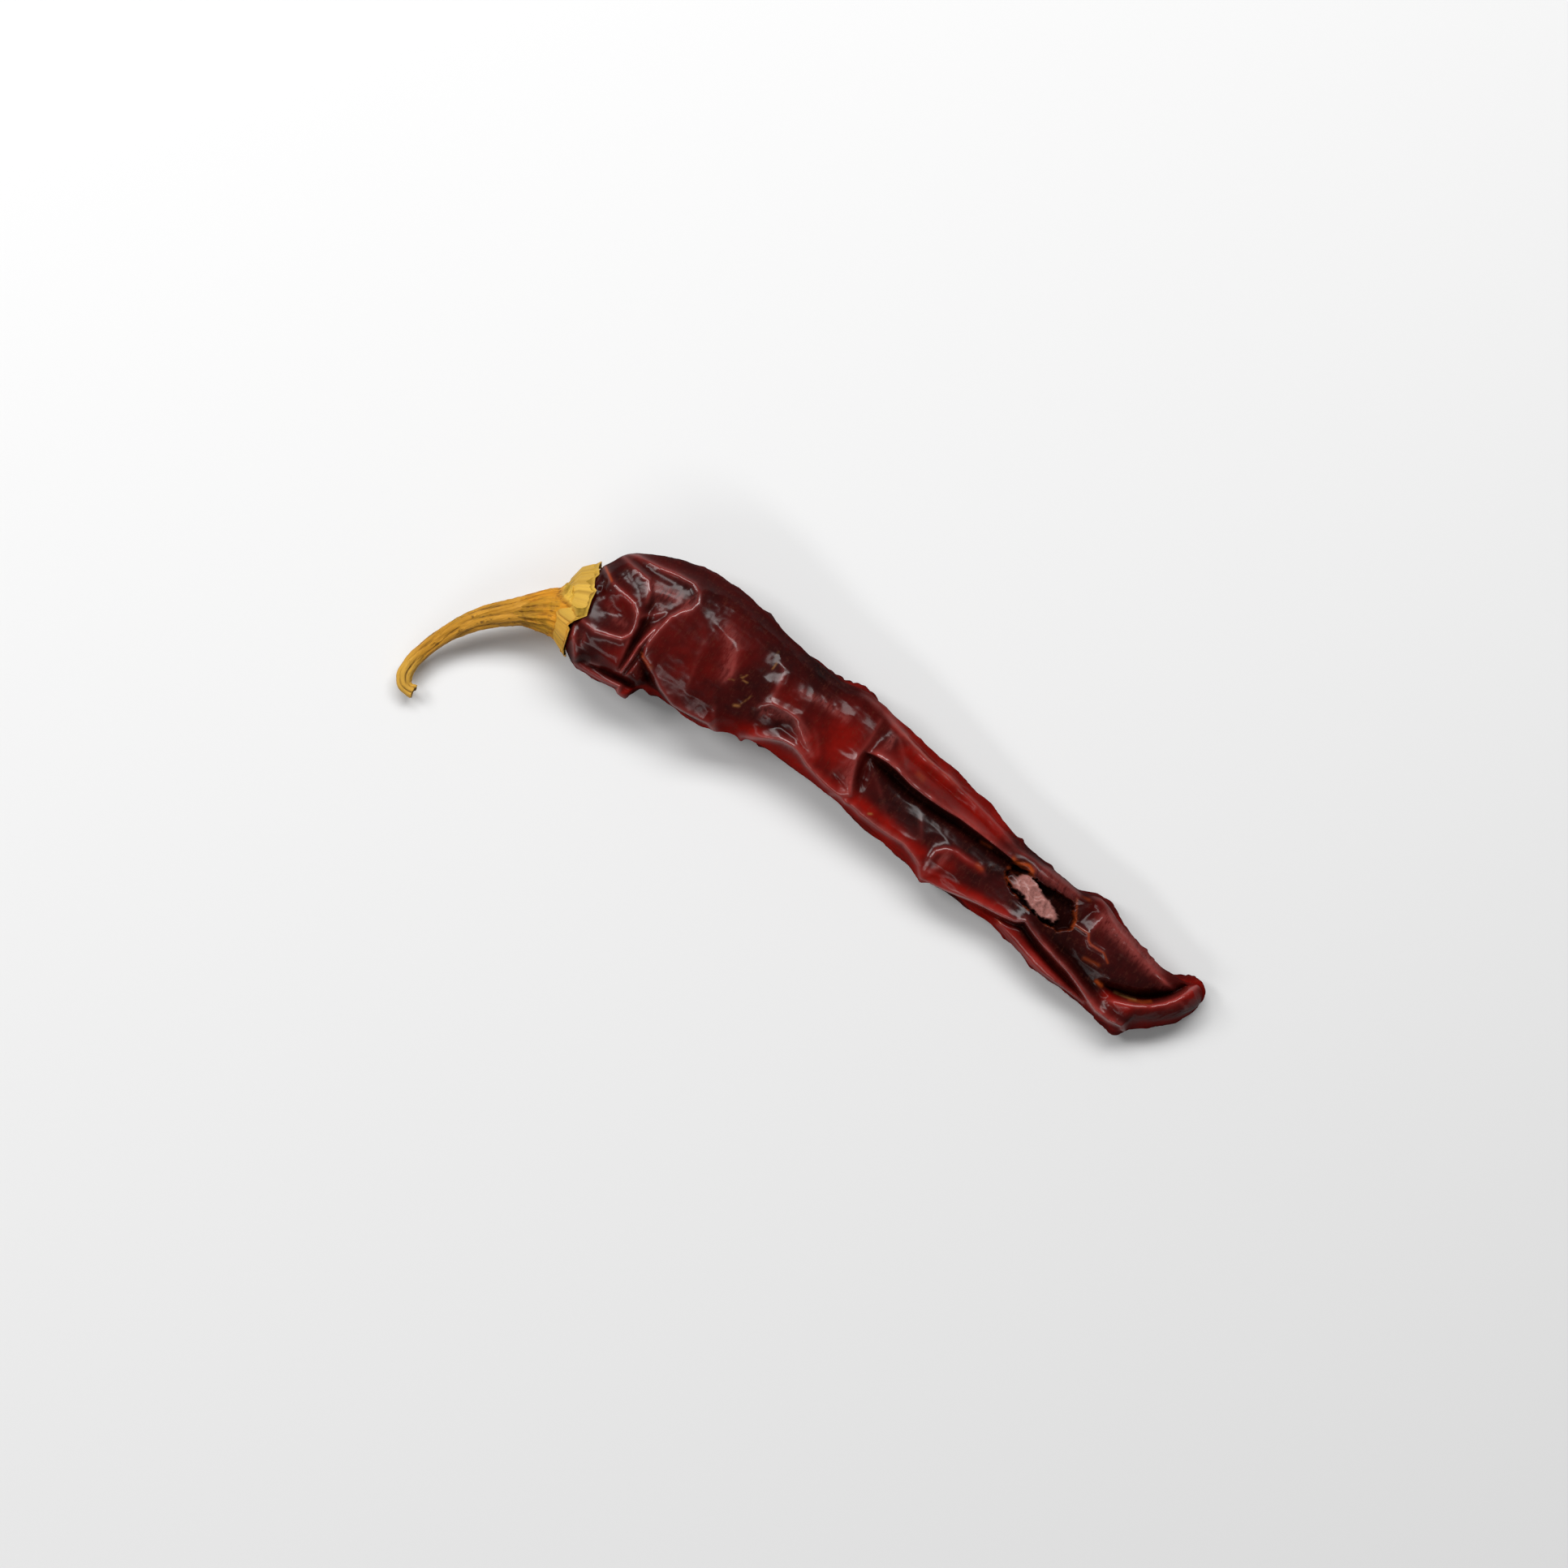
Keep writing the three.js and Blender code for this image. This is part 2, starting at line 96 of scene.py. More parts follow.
# Creases on top: a line of (x, y, rise in mm), how wide the skin falls away to its left and to its
# right, and for some, how far the crest leans to the left (to the right where negative).
CREASES = [
    # the shoulder
    ([(.3, 10.2, .2), (3, 11.2, .7), (7, 11.7, .9), (10, 12.3, 1), (12.5, 12.5, 1), (13.9, 11.8, .9),
      (14.6, 10.5, .8), (14.4, 9.2, .7), (13.3, 7.9, .8), (12.4, 6.3, .9), (12, 4, 1.1),
      (11.8, 1.5, 1.2), (11.9, .4, .9)], 2.6, .5, .2),
    ([(.3, 10.2, .3), (3, 9.7, .7), (6.3, 9.2, .9), (7.5, 7.9, .8), (8.1, 6.4, .4)], .6, 1.4),
    ([(-1.2, 7.4, .3), (.8, 6.6, .6), (1.8, 5.9, .8), (4, 5.5, .8), (6.5, 5, .9), (8, 3.9, 1.1),
      (8.8, 2.2, 1.2), (8.9, .8, 1.2), (8, -.5, 1.1), (6, -1.2, 1), (4, -1.8, .9), (1.5, -1.6, .5)],
     .9, 1.3),
    ([(8.3, 3.6, .5), (9.5, 4.9, .6), (11.5, 6.5, .3)], .7, .7),
    ([(11.5, 4.6, .3), (11.1, 2, 1.4), (10.8, 0, 1.9), (10.9, -2, 1.9), (10.7, -4.7, 1.2)], .4, .45),
    ([(8.9, .8, .8), (9.5, -2, .8), (10, -5, .5)], .6, 1.6),
    ([(12, -.8, .3), (11.9, -3, .6), (11.6, -4.8, .4)], .4, .5),
    ([(.3, -2.3, .4), (1.5, -4.3, .9), (3.7, -7, .7)], .8, .8),
    ([(5, -7.5, .2), (6, -6.3, .6), (7.2, -6, .5)], .4, .6),
    ([(4, -7.6, .5), (8.5, -7.3, .7), (11.6, -6.7, .9), (11.9, -7.6, .8), (13.4, -7.9, .6)],
     .4, .4),
    ([(2.8, -2.9, .2), (3.4, -4, .3), (3.3, -5, .2)], .5, .5),
    # the bulge
    ([(11.9, .4, .8), (12.3, -.6, .8), (14, -1.3, .8), (17, -3, .8), (20, -3.9, .9), (23, -3.6, 1),
      (26, -3.2, 1), (27.6, -4.1, .4)], 2, .6, -.5),
    ([(25.4, -1.2, .3), (26.4, -2.7, .5), (27.6, -4.1, .5)], .8, .6),
    ([(21.6, 10, .1), (23.6, 7.6, .6), (24.9, 4.4, .8), (24.4, 2.6, .3)], 3.2, 2),
    ([(18.6, 6, .1), (19.4, 3, .2), (20.1, 0, .2), (20.4, -3.4, .1)], 1.2, 1.6),
    # the belly
    ([(30.3, 10, .3), (31.5, 9, .5), (32, 5.5, .6), (32.4, 4.3, .5)], 2.4, .7),
    ([(31, 2.6, .3), (32.6, 4.2, 1.2), (35, 4.5, 1.2), (37, 4.4, 1.1), (38.5, 4, .8), (40, 3.2, .3)],
     1.6, .8),
    ([(36.4, 4.4, .6), (38.2, 3.3, 1.2), (40, 2.1, 1.2), (42, 1, .6)], 1.2, .7),
    ([(31, -2.2, .5), (33, -1.2, 1), (35, -.2, 1.3), (37, .7, 1.5), (39, .9, 1.6), (40.5, .5, 1.5),
      (42, -.3, 1.2), (46, -1.2, .9), (50.2, -1.5, .9)], 1.3, .8, -.3),
    ([(39.8, 4.6, .1), (41.4, 3.4, .3), (42.6, 1.6, .2)], .8, .8),
    # the waist
    ([(47.6, -1.9, .5), (50, -.5, 1.3), (49.3, .7, 1.3), (48.3, 3, 1.1), (47.8, 5, .8), (48, 8, .5),
      (47.6, 11.5, .3)], 2.2, .6),
    ([(45.3, -1, .1), (46.4, 1.6, .3), (46.9, 4, .1)], 1, 1),
    # the long crest and the troughs beside it
    ([(48.6, 7, .3), (50, 7.4, 1.5), (52, 7.5, 1.9), (54, 7.3, 1.9), (57, 6.6, 1.8), (60, 6.4, 1.8),
      (63.5, 6.4, 1.7), (66, 6.6, 1.6), (70, 6.4, 1.4), (73, 6.2, 1.2), (76.7, 5.9, .6)], 1.5, .35, -.8),
    ([(43, 13.2, .2), (47, 12.8, .6), (50, 11.8, .8), (53, 11.1, .9), (57, 10.3, .9), (61, 10, .8),
      (65, 9.3, .7), (70, 8.4, .6), (76, 6.9, .4), (82, 6.6, .5), (88, 6.1, .4)], .5, 1.2),
    ([(51.2, 11.2, .4), (53, 9.5, .4), (55.2, 7.6, .3)], 1.6, .5),
    ([(50.2, 11.4, .2), (50.9, 9.2, .4), (50.2, 7.8, .2)], .6, .7),
    # the flat panel and its lower edge
    ([(60, 4, .15), (61.4, 2, .3), (63, -.2, .2)], 1.4, .8),
    ([(51, 4.4, .1), (54, 2, .2), (56.5, -.4, .1)], 1.4, 1),
    ([(50.2, -1.5, .6), (51.5, -1.6, 1), (53, -2, .8), (56, -2.2, .8), (59, -2.2, .8), (61, -2, .9),
      (63, -2.6, .9), (65, -3.5, .9), (66.4, -4.8, .5)], 1.2, .7, -.3),
    ([(66.4, -4.6, .5), (65.7, -2.5, .7), (65.9, -.5, .7), (66.8, .6, .7), (68.5, 1.2, .6),
      (71, 1.1, .5), (73, 1.3, .4), (74.2, .7, .2)], .6, 2),
    ([(66.6, -4.5, .3), (67.4, -2.5, .5), (67.9, .3, .3)], .6, 1),
    ([(66.5, -4.8, .5), (69, -4.5, .9), (71, -4.2, 1.1), (74, -3.5, 1.1), (77, -3.1, 1.1),
      (80, -2.8, 1.1), (82, -2.4, 1.2), (83.2, -1.4, 1.3), (84.5, -2, 1.4), (87, -2.8, 1.5),
      (90, -3.5, 1.6), (93, -4.2, 1.6), (95, -4.9, 1.6), (98, -6.1, 1.5), (100, -6.7, 1.4),
      (102.5, -6.9, 1.2), (104.5, -6.6, 1.1), (105.2, -7, .8)], 1, .35, -.3),
    ([(79.9, -3.9, .5), (80.4, -4.2, .7), (85, -5.2, .8), (90, -6.2, .9), (95, -6.8, .9),
      (97.8, -7, .6)], .5, .5),
    # the torn stretch and the tip
    ([(90, 2.1, .4), (92.4, 2.1, .5), (92.9, 1.3, .5), (93.5, .8, .5), (96, .9, .4), (97.3, 0, .2)],
     .35, .35),
    ([(92.9, 7, .3), (92.7, 4.6, .5), (92.5, 2.3, .3)], 1.6, .6),
    ([(92.4, 7, .3), (93.8, 6, .7), (95.5, 5.2, .9), (98, 4.5, 1), (101, 3.6, 1), (104, 3, 1),
      (106.5, 2.5, 1.1), (108.8, 2.2, .9)], 5, 1.8),
    ([(100.2, -5, .2), (101.5, -4.4, 1), (103.5, -3.4, 1.8), (105, -2.6, 2.2), (106.5, -1.6, 2.3),
      (108, -.2, 2.3), (109, 1.2, 2.3), (109.8, 2.6, 2.1), (110.5, 4.1, 1.4), (111.1, 4.8, .6)],
     .3, 2),
    ([(108.6, -.8, .2), (109.3, .4, .5), (110, 1.3, .5), (111.4, 1, .2)], .5, .6),
    ([(90.1, 7.3, .3), (91.5, 7.4, .5), (94, 6.4, .3)], .4, .8),
]

CREST_WIDTH = 0.2  # mm over which a crease's painted crest highlight fades
CREST_ROUNDING = 0.22  # mm over which the crest itself is rounded
LEAN_REACH = 0.7  # mm from the crest over which a leaning crease fades

# Grooves on top, drawn in the same way with their depths, and how far their floors are rounded.
GROOVE_ROUNDING = 0.3
GROOVES = [
    ([(-.2, 6.2, .5), (.9, 5.4, 1), (1.3, 3.8, .8)], .5, .5),
    ([(9, 6.8, .4), (9.6, 3.2, 1.2), (9.9, .5, 1.6), (10.1, -2, 1.4), (10.3, -4.4, 1)], .5, .4),
    ([(11.5, -.2, 1.2), (11.4, -2.5, 1.4), (11.2, -4.6, 1.2)], .3, .3),
    ([(12.6, -1.6, 1.6), (14.5, -3, 2.4), (16.6, -4, 1.2)], 1, 1),
    ([(4.6, -6.9, .8), (8.5, -6.2, 1.8), (11.4, -5.8, 2.2), (13.4, -5.6, 2.2)], .6, .6),
    ([(33.4, .6, .4), (35.5, 2, .8), (38, 1.7, .6), (40.6, 1, .4)], .9, .9),
    ([(49.6, 10.4, .3), (49.3, 7.6, .8), (49.3, 5, 1.3), (50.2, 2, 1.2), (51.2, .4, .6)], .9, 1.1),
    ([(49.4, 6.2, 1), (54, 5.5, 2), (58, 5, 2.2), (62, 4.9, 2.2), (66, 5, 2.2), (70, 4.9, 2.2),
      (76, 4.7, 2), (79, 4.3, 1.4)], .7, 1.5),
    ([(53.6, 9.4, .3), (58, 8.8, 1), (64, 8.1, 1.1), (70, 7.4, .9), (75, 6.6, .4)], 1.1, 1),
    ([(68.5, -5.1, .4), (72, -4.6, 1), (76, -3.9, 1.1), (80, -3.4, 1.2), (83.6, -2.6, 1.2),
      (87, -4.1, 1.6), (91, -5.2, 1.7), (95, -6.1, 1.5), (98, -6.7, .6)], .4, .5),
    ([(84, -.9, .4), (88, -1.9, 1.3), (92, -2.5, 1.5), (96, -3.6, 1.5), (99.6, -4.8, 1)], 1.4, .9),
    ([(97.2, -3.3, .4), (100, -3.2, 2.4), (102, -2.8, 3.4), (104, -2.1, 3.8), (106, -.9, 3.8),
      (107.6, .6, 3.6), (108.7, 2, 3), (109.4, 3.2, 2.6), (110, 4.4, 1.6)], .7, .5),
    ([(90.4, 3, .3), (91.2, 5.4, .6), (90.6, 6.8, .2)], .8, .8),
]

# Soft swellings and dips: centre, reach along and across, and height.
SWELLS = [
    (5, 2.2, 2.6, 2, -1.2), (4, 7.7, 3, 1.4, -.3), (9.6, 8.8, 1.8, 1.2, .3), (6.8, -3.6, 2.2, 1.6, .5),
    (17.5, 3.5, 4.2, 4.5, .5), (36, 7.5, 5, 2.2, .4), (44.5, 5, 3, 3.5, -.5), (57, 1.6, 6.5, 2.6, -.5),
    (70, -1.6, 3.4, 1.8, .7), (76, .6, 5, 2.4, -.3), (84, 6, 4, .9, .5), (103, .6, 4, 1.8, -.3),
    (30.5, 6.6, .9, 1, .4), (23, 12, 5, 2, -.3),
]

# The tear near the tip: its outline, the ragged flake of inner skin that lies in it, and their depths.
TEAR = [
    (76.8, 4.9), (79.6, 5.1), (81.5, 4.6), (86.8, 5), (88.2, 5), (88.5, 4.1), (89.6, 2.7), (89.8, 1),
    (88.4, -.3), (85, -.5), (81.5, .1), (78.4, 1), (76.6, 2.4),
]
TEAR_DEPTH = 2.3
FLAKE = [
    (79.5, 4.6), (80.9, 4.5), (83.2, 3.6), (85.6, 2.7), (87.6, 1.5), (87.2, .4), (85, -.2), (82.4, .3),
    (80.9, 1.1), (79.4, 1.2), (78, 1.4), (76.8, 2.4), (77.2, 3.7), (78.5, 3.5),
]
FLAKE_RISE = 2.1
TORN_EDGE = 0.35  # mm over which a torn edge drops
TORN_JAG = 0.5  # mm by which it wanders

# Creases of the sides and the underside, drawn at random: how many, their length along the pod, how
# far each step wanders round it, their height and how wide the skin falls away, in mm.
SIDE_CREASES = 44
SIDE_LENGTH = (10, 34)
SIDE_WANDER = 1.0
SIDE_RISE = (0.6, 1.5)
SIDE_SPREAD = (0.35, 1.4)
GIRTH = 52.0  # mm once round the pod, for drawing on its sides

# Crumpling of the skin, in mm: on top, on the sides, finer on the sides, and fine wrinkles all over.
TOP_RELIEF = 0.24
SIDE_RELIEF = 0.9
SIDE_FINE_RELIEF = 0.15
MICRO_RELIEF = 0.08
SIDE_SINK = 0.3  # mm by which the skin sinks between side creases
PRESSED_EDGE = 0.35  # mm over which the skin levels out on the table
NEAR_TABLE = 2.0  # mm above the table up to which it does

# Noise: the lattice's size, and the crumpling's mean, its octaves' falling weight and their sum, and by
# how many cells slower noise bends it.
LATTICE = 257
CRUMPLE_MEAN = 0.45
OCTAVE_WEIGHT = 0.42
OCTAVE_SUM = 1.6
BEND = 1.4

# Paint on the skin, as lines and patches, each with its reach in mm and its strength: where it is thin
# and red, darkened by painted shade, torn to an orange lip, lit by a painted sheen that stands in for
# highlights, or scarred.
THIN_LINES = [
    ([(26, -4.2), (28, -3.4), (32.5, -1.8), (40, -1.4), (48, -1.8)], 1.7, 1),
    ([(50, -1), (58, -1.4), (64, -2.2)], 1.2, 1),
    ([(50, -2.6), (60, -3.3), (66, -4.8), (74, -4.4), (80, -3.8), (88, -5.6), (96, -6.8)], .8, .8),
    ([(54, 9.6), (64, 8.6), (72, 7.4)], 1.7, 1), ([(50, 11.9), (60, 10.4), (70, 8.8)], .7, .6),
    ([(67, -3.6), (72, -3.2), (80, -2.4)], .8, .8), ([(100.2, -4.2), (103.5, -4)], 1, 1),
    ([(101, -4), (106, -1.8), (109, 1.2), (110.6, 4)], .9, 1),
    ([(4, -8), (12, -7.8), (15, -4.9), (26, -4.7)], .6, .7), ([(66, -.4), (68, 1), (73, 1)], .7, .5),
]
THIN_PATCHES = [
    (18, 3, 6, .35), (22, 8, 4, .4), (44, 5, 5, .7), (41, 1.5, 3, .8), (34, 6, 3, .45), (68, -2, 2.4, .4),
    (9, -3.5, 2.2, .4), (5, 3.8, 2.4, .4), (111, 3.2, 1.5, .9), (92, 5, 2, .3),
]
# Painted shade: darker lines and patches in the valleys, in the tear and in shadowed spots.
SHADE_LINES = [
    ([(49.5, 5.9), (56, 5.3), (66, 5.2), (78, 4.8)], .9, .7), ([(9.8, 5), (10.1, 0), (10.2, -4.5)], .5, .6),
]
SHADE_PATCHES = [
    (88.6, 3, 2.2, .6), (85, -.9, 2.4, .5), (91, -2, 2.6, .5), (94, -2.6, 2.6, .4), (78, 4.6, 1.4, .4),
    (35, 12, 3.5, .3), (9.6, 7, 1.4, .4), (62, 5, 3, .2), (106, .2, 1.6, .3),
]
LIP_LINES = [
    ([(-.9, 7.6), (.8, 6.6), (1.8, 6)], .16, .7), ([(11.6, -.3), (12.6, -.8), (14.2, -1.4)], .17, .9),
    ([(26.8, -3.4), (27.7, -4.1)], .25, 1), ([(50, 11.9), (54, 11.1), (58, 10.4)], .2, .8),
    ([(60, 10.2), (63, 9.9)], .3, .4), ([(76.4, 5.9), (77.4, 5.4), (79, 5.7), (79.9, 5.3)], .3, .9),
    ([(80, 5), (80, 4.3)], .18, 1), ([(77.2, 3.6), (78.4, 3.9), (79.4, 4)], .25, .5),
    ([(77.3, 2.2), (78.6, 1.6), (79.8, 1.6)], .2, .5), ([(87.8, 6.6), (88.6, 6.5), (89.6, 6.6)], .3, .6),
    ([(88, 5.6), (88.6, 4.6), (89.5, 3), (89.9, 1.2)], .14, .4),
    ([(90, 2.1), (92.4, 2.1), (93, 1.2), (93.6, .9), (96, .9), (97.4, 0)], .13, .55),
    ([(94, -1.4), (96.4, -1.1)], .3, .3), ([(97.6, -3.3), (98.6, -3.4)], .3, .7),
    ([(103.4, -2.9), (105.4, -2), (106.4, -1.2)], .2, .6), ([(71, 4.7), (72.6, 4.9)], .3, .3),
    ([(72.3, 1.3), (73.2, 1.1)], .35, .4), ([(57, 8), (58, 7.8)], .4, .25),
    ([(79.8, -4), (80.4, -4.1)], .2, .6),
]
# Painted sheen: a pinkish paler colour on proud folds that stands in for broad highlights.
SHEEN_LINES = [
    ([(7.6, 8.8), (9.8, 9.2), (11.6, 9.4)], 1, .7), ([(9.4, 7.6), (10.2, 6.6)], .8, .5),
    ([(13.4, 10.2), (13.6, 8.4)], .7, .7), ([(20.6, 9.6), (22.4, 8.4), (23.6, 6), (24.2, 4)], 1.1, .7),
    ([(35.5, 8.2), (39, 8.8), (43, 8.6)], .7, .7), ([(32, 2.4), (33.4, 3.4), (35.6, 3.9)], .8, .7),
    ([(37.4, 3.6), (39.4, 2.4), (41.4, 1.2)], .7, .75), ([(33.4, -.9), (37, .2), (40.4, .4)], .5, .6),
    ([(47.6, 4.4), (48.2, 1.6), (49.2, -.6)], .8, .75), ([(50.6, 10.4), (50.8, 8.8)], .5, .8),
    ([(51, -1.8), (55, -2), (61, -2.1), (64.6, -3.3)], .3, .7), ([(80, 5.9), (84, 5.8), (87, 5.6)], .7, .6),
    ([(93.4, 5.6), (94.6, 4.8), (97, 4.5), (100, 3.8), (103.5, 3.3)], 1.1, .85),
    ([(3.6, 2.6), (5.4, 1.4), (7.2, 1.6)], .6, .35), ([(67.4, .6), (67.2, -1.4)], .4, .5),
    ([(106.4, 1.2), (108.4, 2.4)], .5, .5),
]
SCARS = [
    ([(26.2, 5), (26.8, 4.7), (27.6, 4.6)], .1, .7), ([(26.5, 4.9), (26.9, 5.6)], .1, .6),
    ([(27.8, .7), (28.4, 1)], .2, .8), ([(28.4, 1.2), (28.9, 2.4), (29.2, 3.4)], .1, .4),
    ([(29.5, 9.8), (29.6, 8.6)], .1, .6), ([(28.9, 11.4), (28.9, 10.4)], .1, .3),
    ([(54.1, -1.4), (54.5, -1.2)], .14, .8), ([(24.9, 3.6), (25.6, 3.8)], .1, .5),
    # the last line is a pale streak along the slit's lip
    ([(101, -3.05), (102.6, -2.8), (104.3, -2.3)], .18, .8),
]
RED_WALL_START, RED_WALL_FADE = (26, 31), (78, 86)  # where the low wall turns red, and where it fades
WALL_THIN, UNDER_THIN = 0.95, 0.45  # how thin the low wall and the underside look
FLAKE_PALE = (78.4, 80.2)  # where the flake turns pale: its paler inner skin with a painted highlight
LIP_WIDTH = 0.15  # mm of orange along the tear's edge
STEEP_GLOSS = 0.13  # the share of its gloss that steep skin keeps
HOLLOW_DULLING, THIN_DULLING = 0.85, 0.45  # the shares lost in hollows and where it is thin


def along_stations(x):
    """The outline's five numbers at each x: straight between stations, then averaged under a narrow bell,
    so that corners are rounded."""
    reach = STATION_ROUNDING * np.array([-1.6, -0.8, 0, 0.8, 1.6])
    weight = np.exp(-((reach / STATION_ROUNDING) ** 2))
    weight /= weight.sum()
    return [
        sum(w * np.interp(x + r, STATIONS[:, 0], STATIONS[:, column]) for r, w in zip(reach, weight))
        for column in range(1, STATIONS.shape[1])
    ]


def rounded(distance, cap):
    """Share of full size at a distance in from a round end: the height of a superellipse."""
    depth, power = cap
    left = 1 - np.clip(distance / depth, 0, 1)
    return (1 - left**power) ** (1 / power)


def smooth(low, high, value):
    """0 below low, 1 above high, and an even S between."""
    t = np.clip((value - low) / (high - low), 0, 1)
    return t * t * (3 - 2 * t)


def lattice_noise(x, y, seed, wrap=None):
    """Soft noise from 0 to 1 with a cell of 1: seeded random numbers on a lattice, joined by S curves.
    Where wrap is given, the pattern repeats after that many cells of y."""
    table = np.random.default_rng(seed).random((LATTICE, LATTICE))
    ix, iy = np.floor(x).astype(int), np.floor(y).astype(int)
    fx, fy = smooth(0, 1, x - ix), smooth(0, 1, y - iy)

    def corner(a, b):
        """The lattice's numbers at one corner of each point's cell."""
        return table[(ix + a) % LATTICE, (iy + b) % (wrap or LATTICE)]

    near = corner(0, 0) * (1 - fx) + corner(1, 0) * fx
    far = corner(0, 1) * (1 - fx) + corner(1, 1) * fx
    return near * (1 - fy) + far * fy


def crumple(x, y, seed, wrap=None):
    """Leathery crumpling from 0 to 1: noise folded about its middle, so that it has sharp crests, its
    coordinates bent by slower noise, in three octaves that each weigh less, over their weights' sum."""
    bent_x = x + BEND * lattice_noise(x * 0.5, y * 0.5, seed + 7, wrap and wrap // 2)
    total = 0.0
    weight = 1.0
    for octave in range(3):
        scale = 2**octave
        noise = lattice_noise(bent_x * scale, y * scale, seed + octave, wrap and wrap * scale)
        total = total + weight * (1 - np.abs(2 * noise - 1)) ** 2
        weight *= OCTAVE_WEIGHT
    return total / OCTAVE_SUM


def uneven(x, y, seed, wrap=None):
    """Crumpling about its mean, so that it sinks as much as it rises."""
    return crumple(x, y, seed, wrap) - CRUMPLE_MEAN


def nearest_on(line, x, y):
    """For each point, the distance to a line of straight runs, the side it lies on (positive to the
    left) and the value of the line's further columns at the nearest place."""
    line = np.asarray(line, float)
    best = np.full(x.shape, 1e9)
    side = np.ones(x.shape)
    extra = np.zeros(x.shape + (line.shape[1] - 2,))
    for start, end in zip(line[:-1], line[1:]):
        run = end[:2] - start[:2]
        dx, dy = x - start[0], y - start[1]
        t = np.clip((dx * run[0] + dy * run[1]) / (run @ run), 0, 1)
        away = np.hypot(dx - t * run[0], dy - t * run[1])
        closer = away < best
        best = np.where(closer, away, best)
        side = np.where(closer, np.sign(run[0] * dy - run[1] * dx), side)
        extra[closer] = start[2:] + t[closer, None] * (end[2:] - start[2:])
    return best, side, extra


def hanging(line, left, right, x, y, crest=CREST_ROUNDING):
    """A taut skin hung over a line: its rise falls off exponentially, with each side's own spread, from
    a slightly rounded crest."""
    away, side, extra = nearest_on(line, x, y)
    spread = np.where(side > 0, left, right)
    return extra[..., 0] * np.exp(-(np.sqrt(away**2 + crest**2) - crest) / spread)


def side_creases():
    """Random crease lines over the sides and the underside, as (x, place round the pod in mm, rise) with
    spreads to the left and right. Each is a random walk of seven steps, and one in three runs across."""
    random = np.random.default_rng(101)
    made = []
    for k in range(SIDE_CREASES):
        start = random.uniform(2, 104)
        place = (0.5 + 0.5 * (k % 2)) * GIRTH + random.normal(0, 3.2 if k % 5 else 9)
        length = random.uniform(*SIDE_LENGTH)
        steps = np.linspace(0, 1, 7)
        walk = np.cumsum(random.normal(0, SIDE_WANDER, 7))
        along, around = start + steps * length, place + walk
        if k % 3 == 0:
            along, around = start + walk, place + (steps - 0.5) * length * 0.4
        rise = random.uniform(*SIDE_RISE) * np.sin(np.pi * (0.08 + 0.84 * steps))
        line = np.stack([along, around, rise], 1)
        made.append((line, random.uniform(*SIDE_SPREAD), random.uniform(*SIDE_SPREAD)))
    return made


def hung(lines, x, y, crest=CREST_ROUNDING):
    """The rises of several lines joined so that the largest leads and crossings don't add up: the cube
    root of the sum of their cubes."""
    return sum(hanging(line, left, right, x, y, crest) ** 3 for line, left, right, *_ in lines) ** (1 / 3)


def inside(outline, x, y, jag_seed):
    """How far inside a closed ragged outline each point is, in mm, negative outside."""
    closed = outline + outline[:1]
    away, _, _ = nearest_on(closed, x, y)
    crossings = np.zeros(x.shape, int)
    for (ax, ay), (bx, by) in zip(closed[:-1], closed[1:]):
        spans = (ay > y) != (by > y)
        at = ax + (y - ay) * (bx - ax) / (by - ay if by != ay else 1e-9)
        crossings += spans & (x < at)
    signed = np.where(crossings % 2 == 1, away, -away)
    return signed + TORN_JAG * (crumple(x * 1.3, y * 1.3, jag_seed) - 0.5)


def paint(marks, patches, x, y):
    """Strength of paint from 0 to 1: bells across lines and around points, the strongest at each place."""
    total = np.zeros(x.shape)
    for line, reach, strength in marks:
        away, _, _ = nearest_on(line, x, y)
        total = np.maximum(total, strength * np.exp(-((away / reach) ** 2)))
    for px, py, reach, strength in patches:
        total = np.maximum(total, strength * np.exp(-(((x - px) ** 2 + (y - py) ** 2) / reach**2)))
    return total


# ---- meshes


def in_scene(name, data):
    """A new object of the scene."""
    made = bpy.data.objects.new(name, data)
    bpy.context.scene.collection.objects.link(made)
    return made


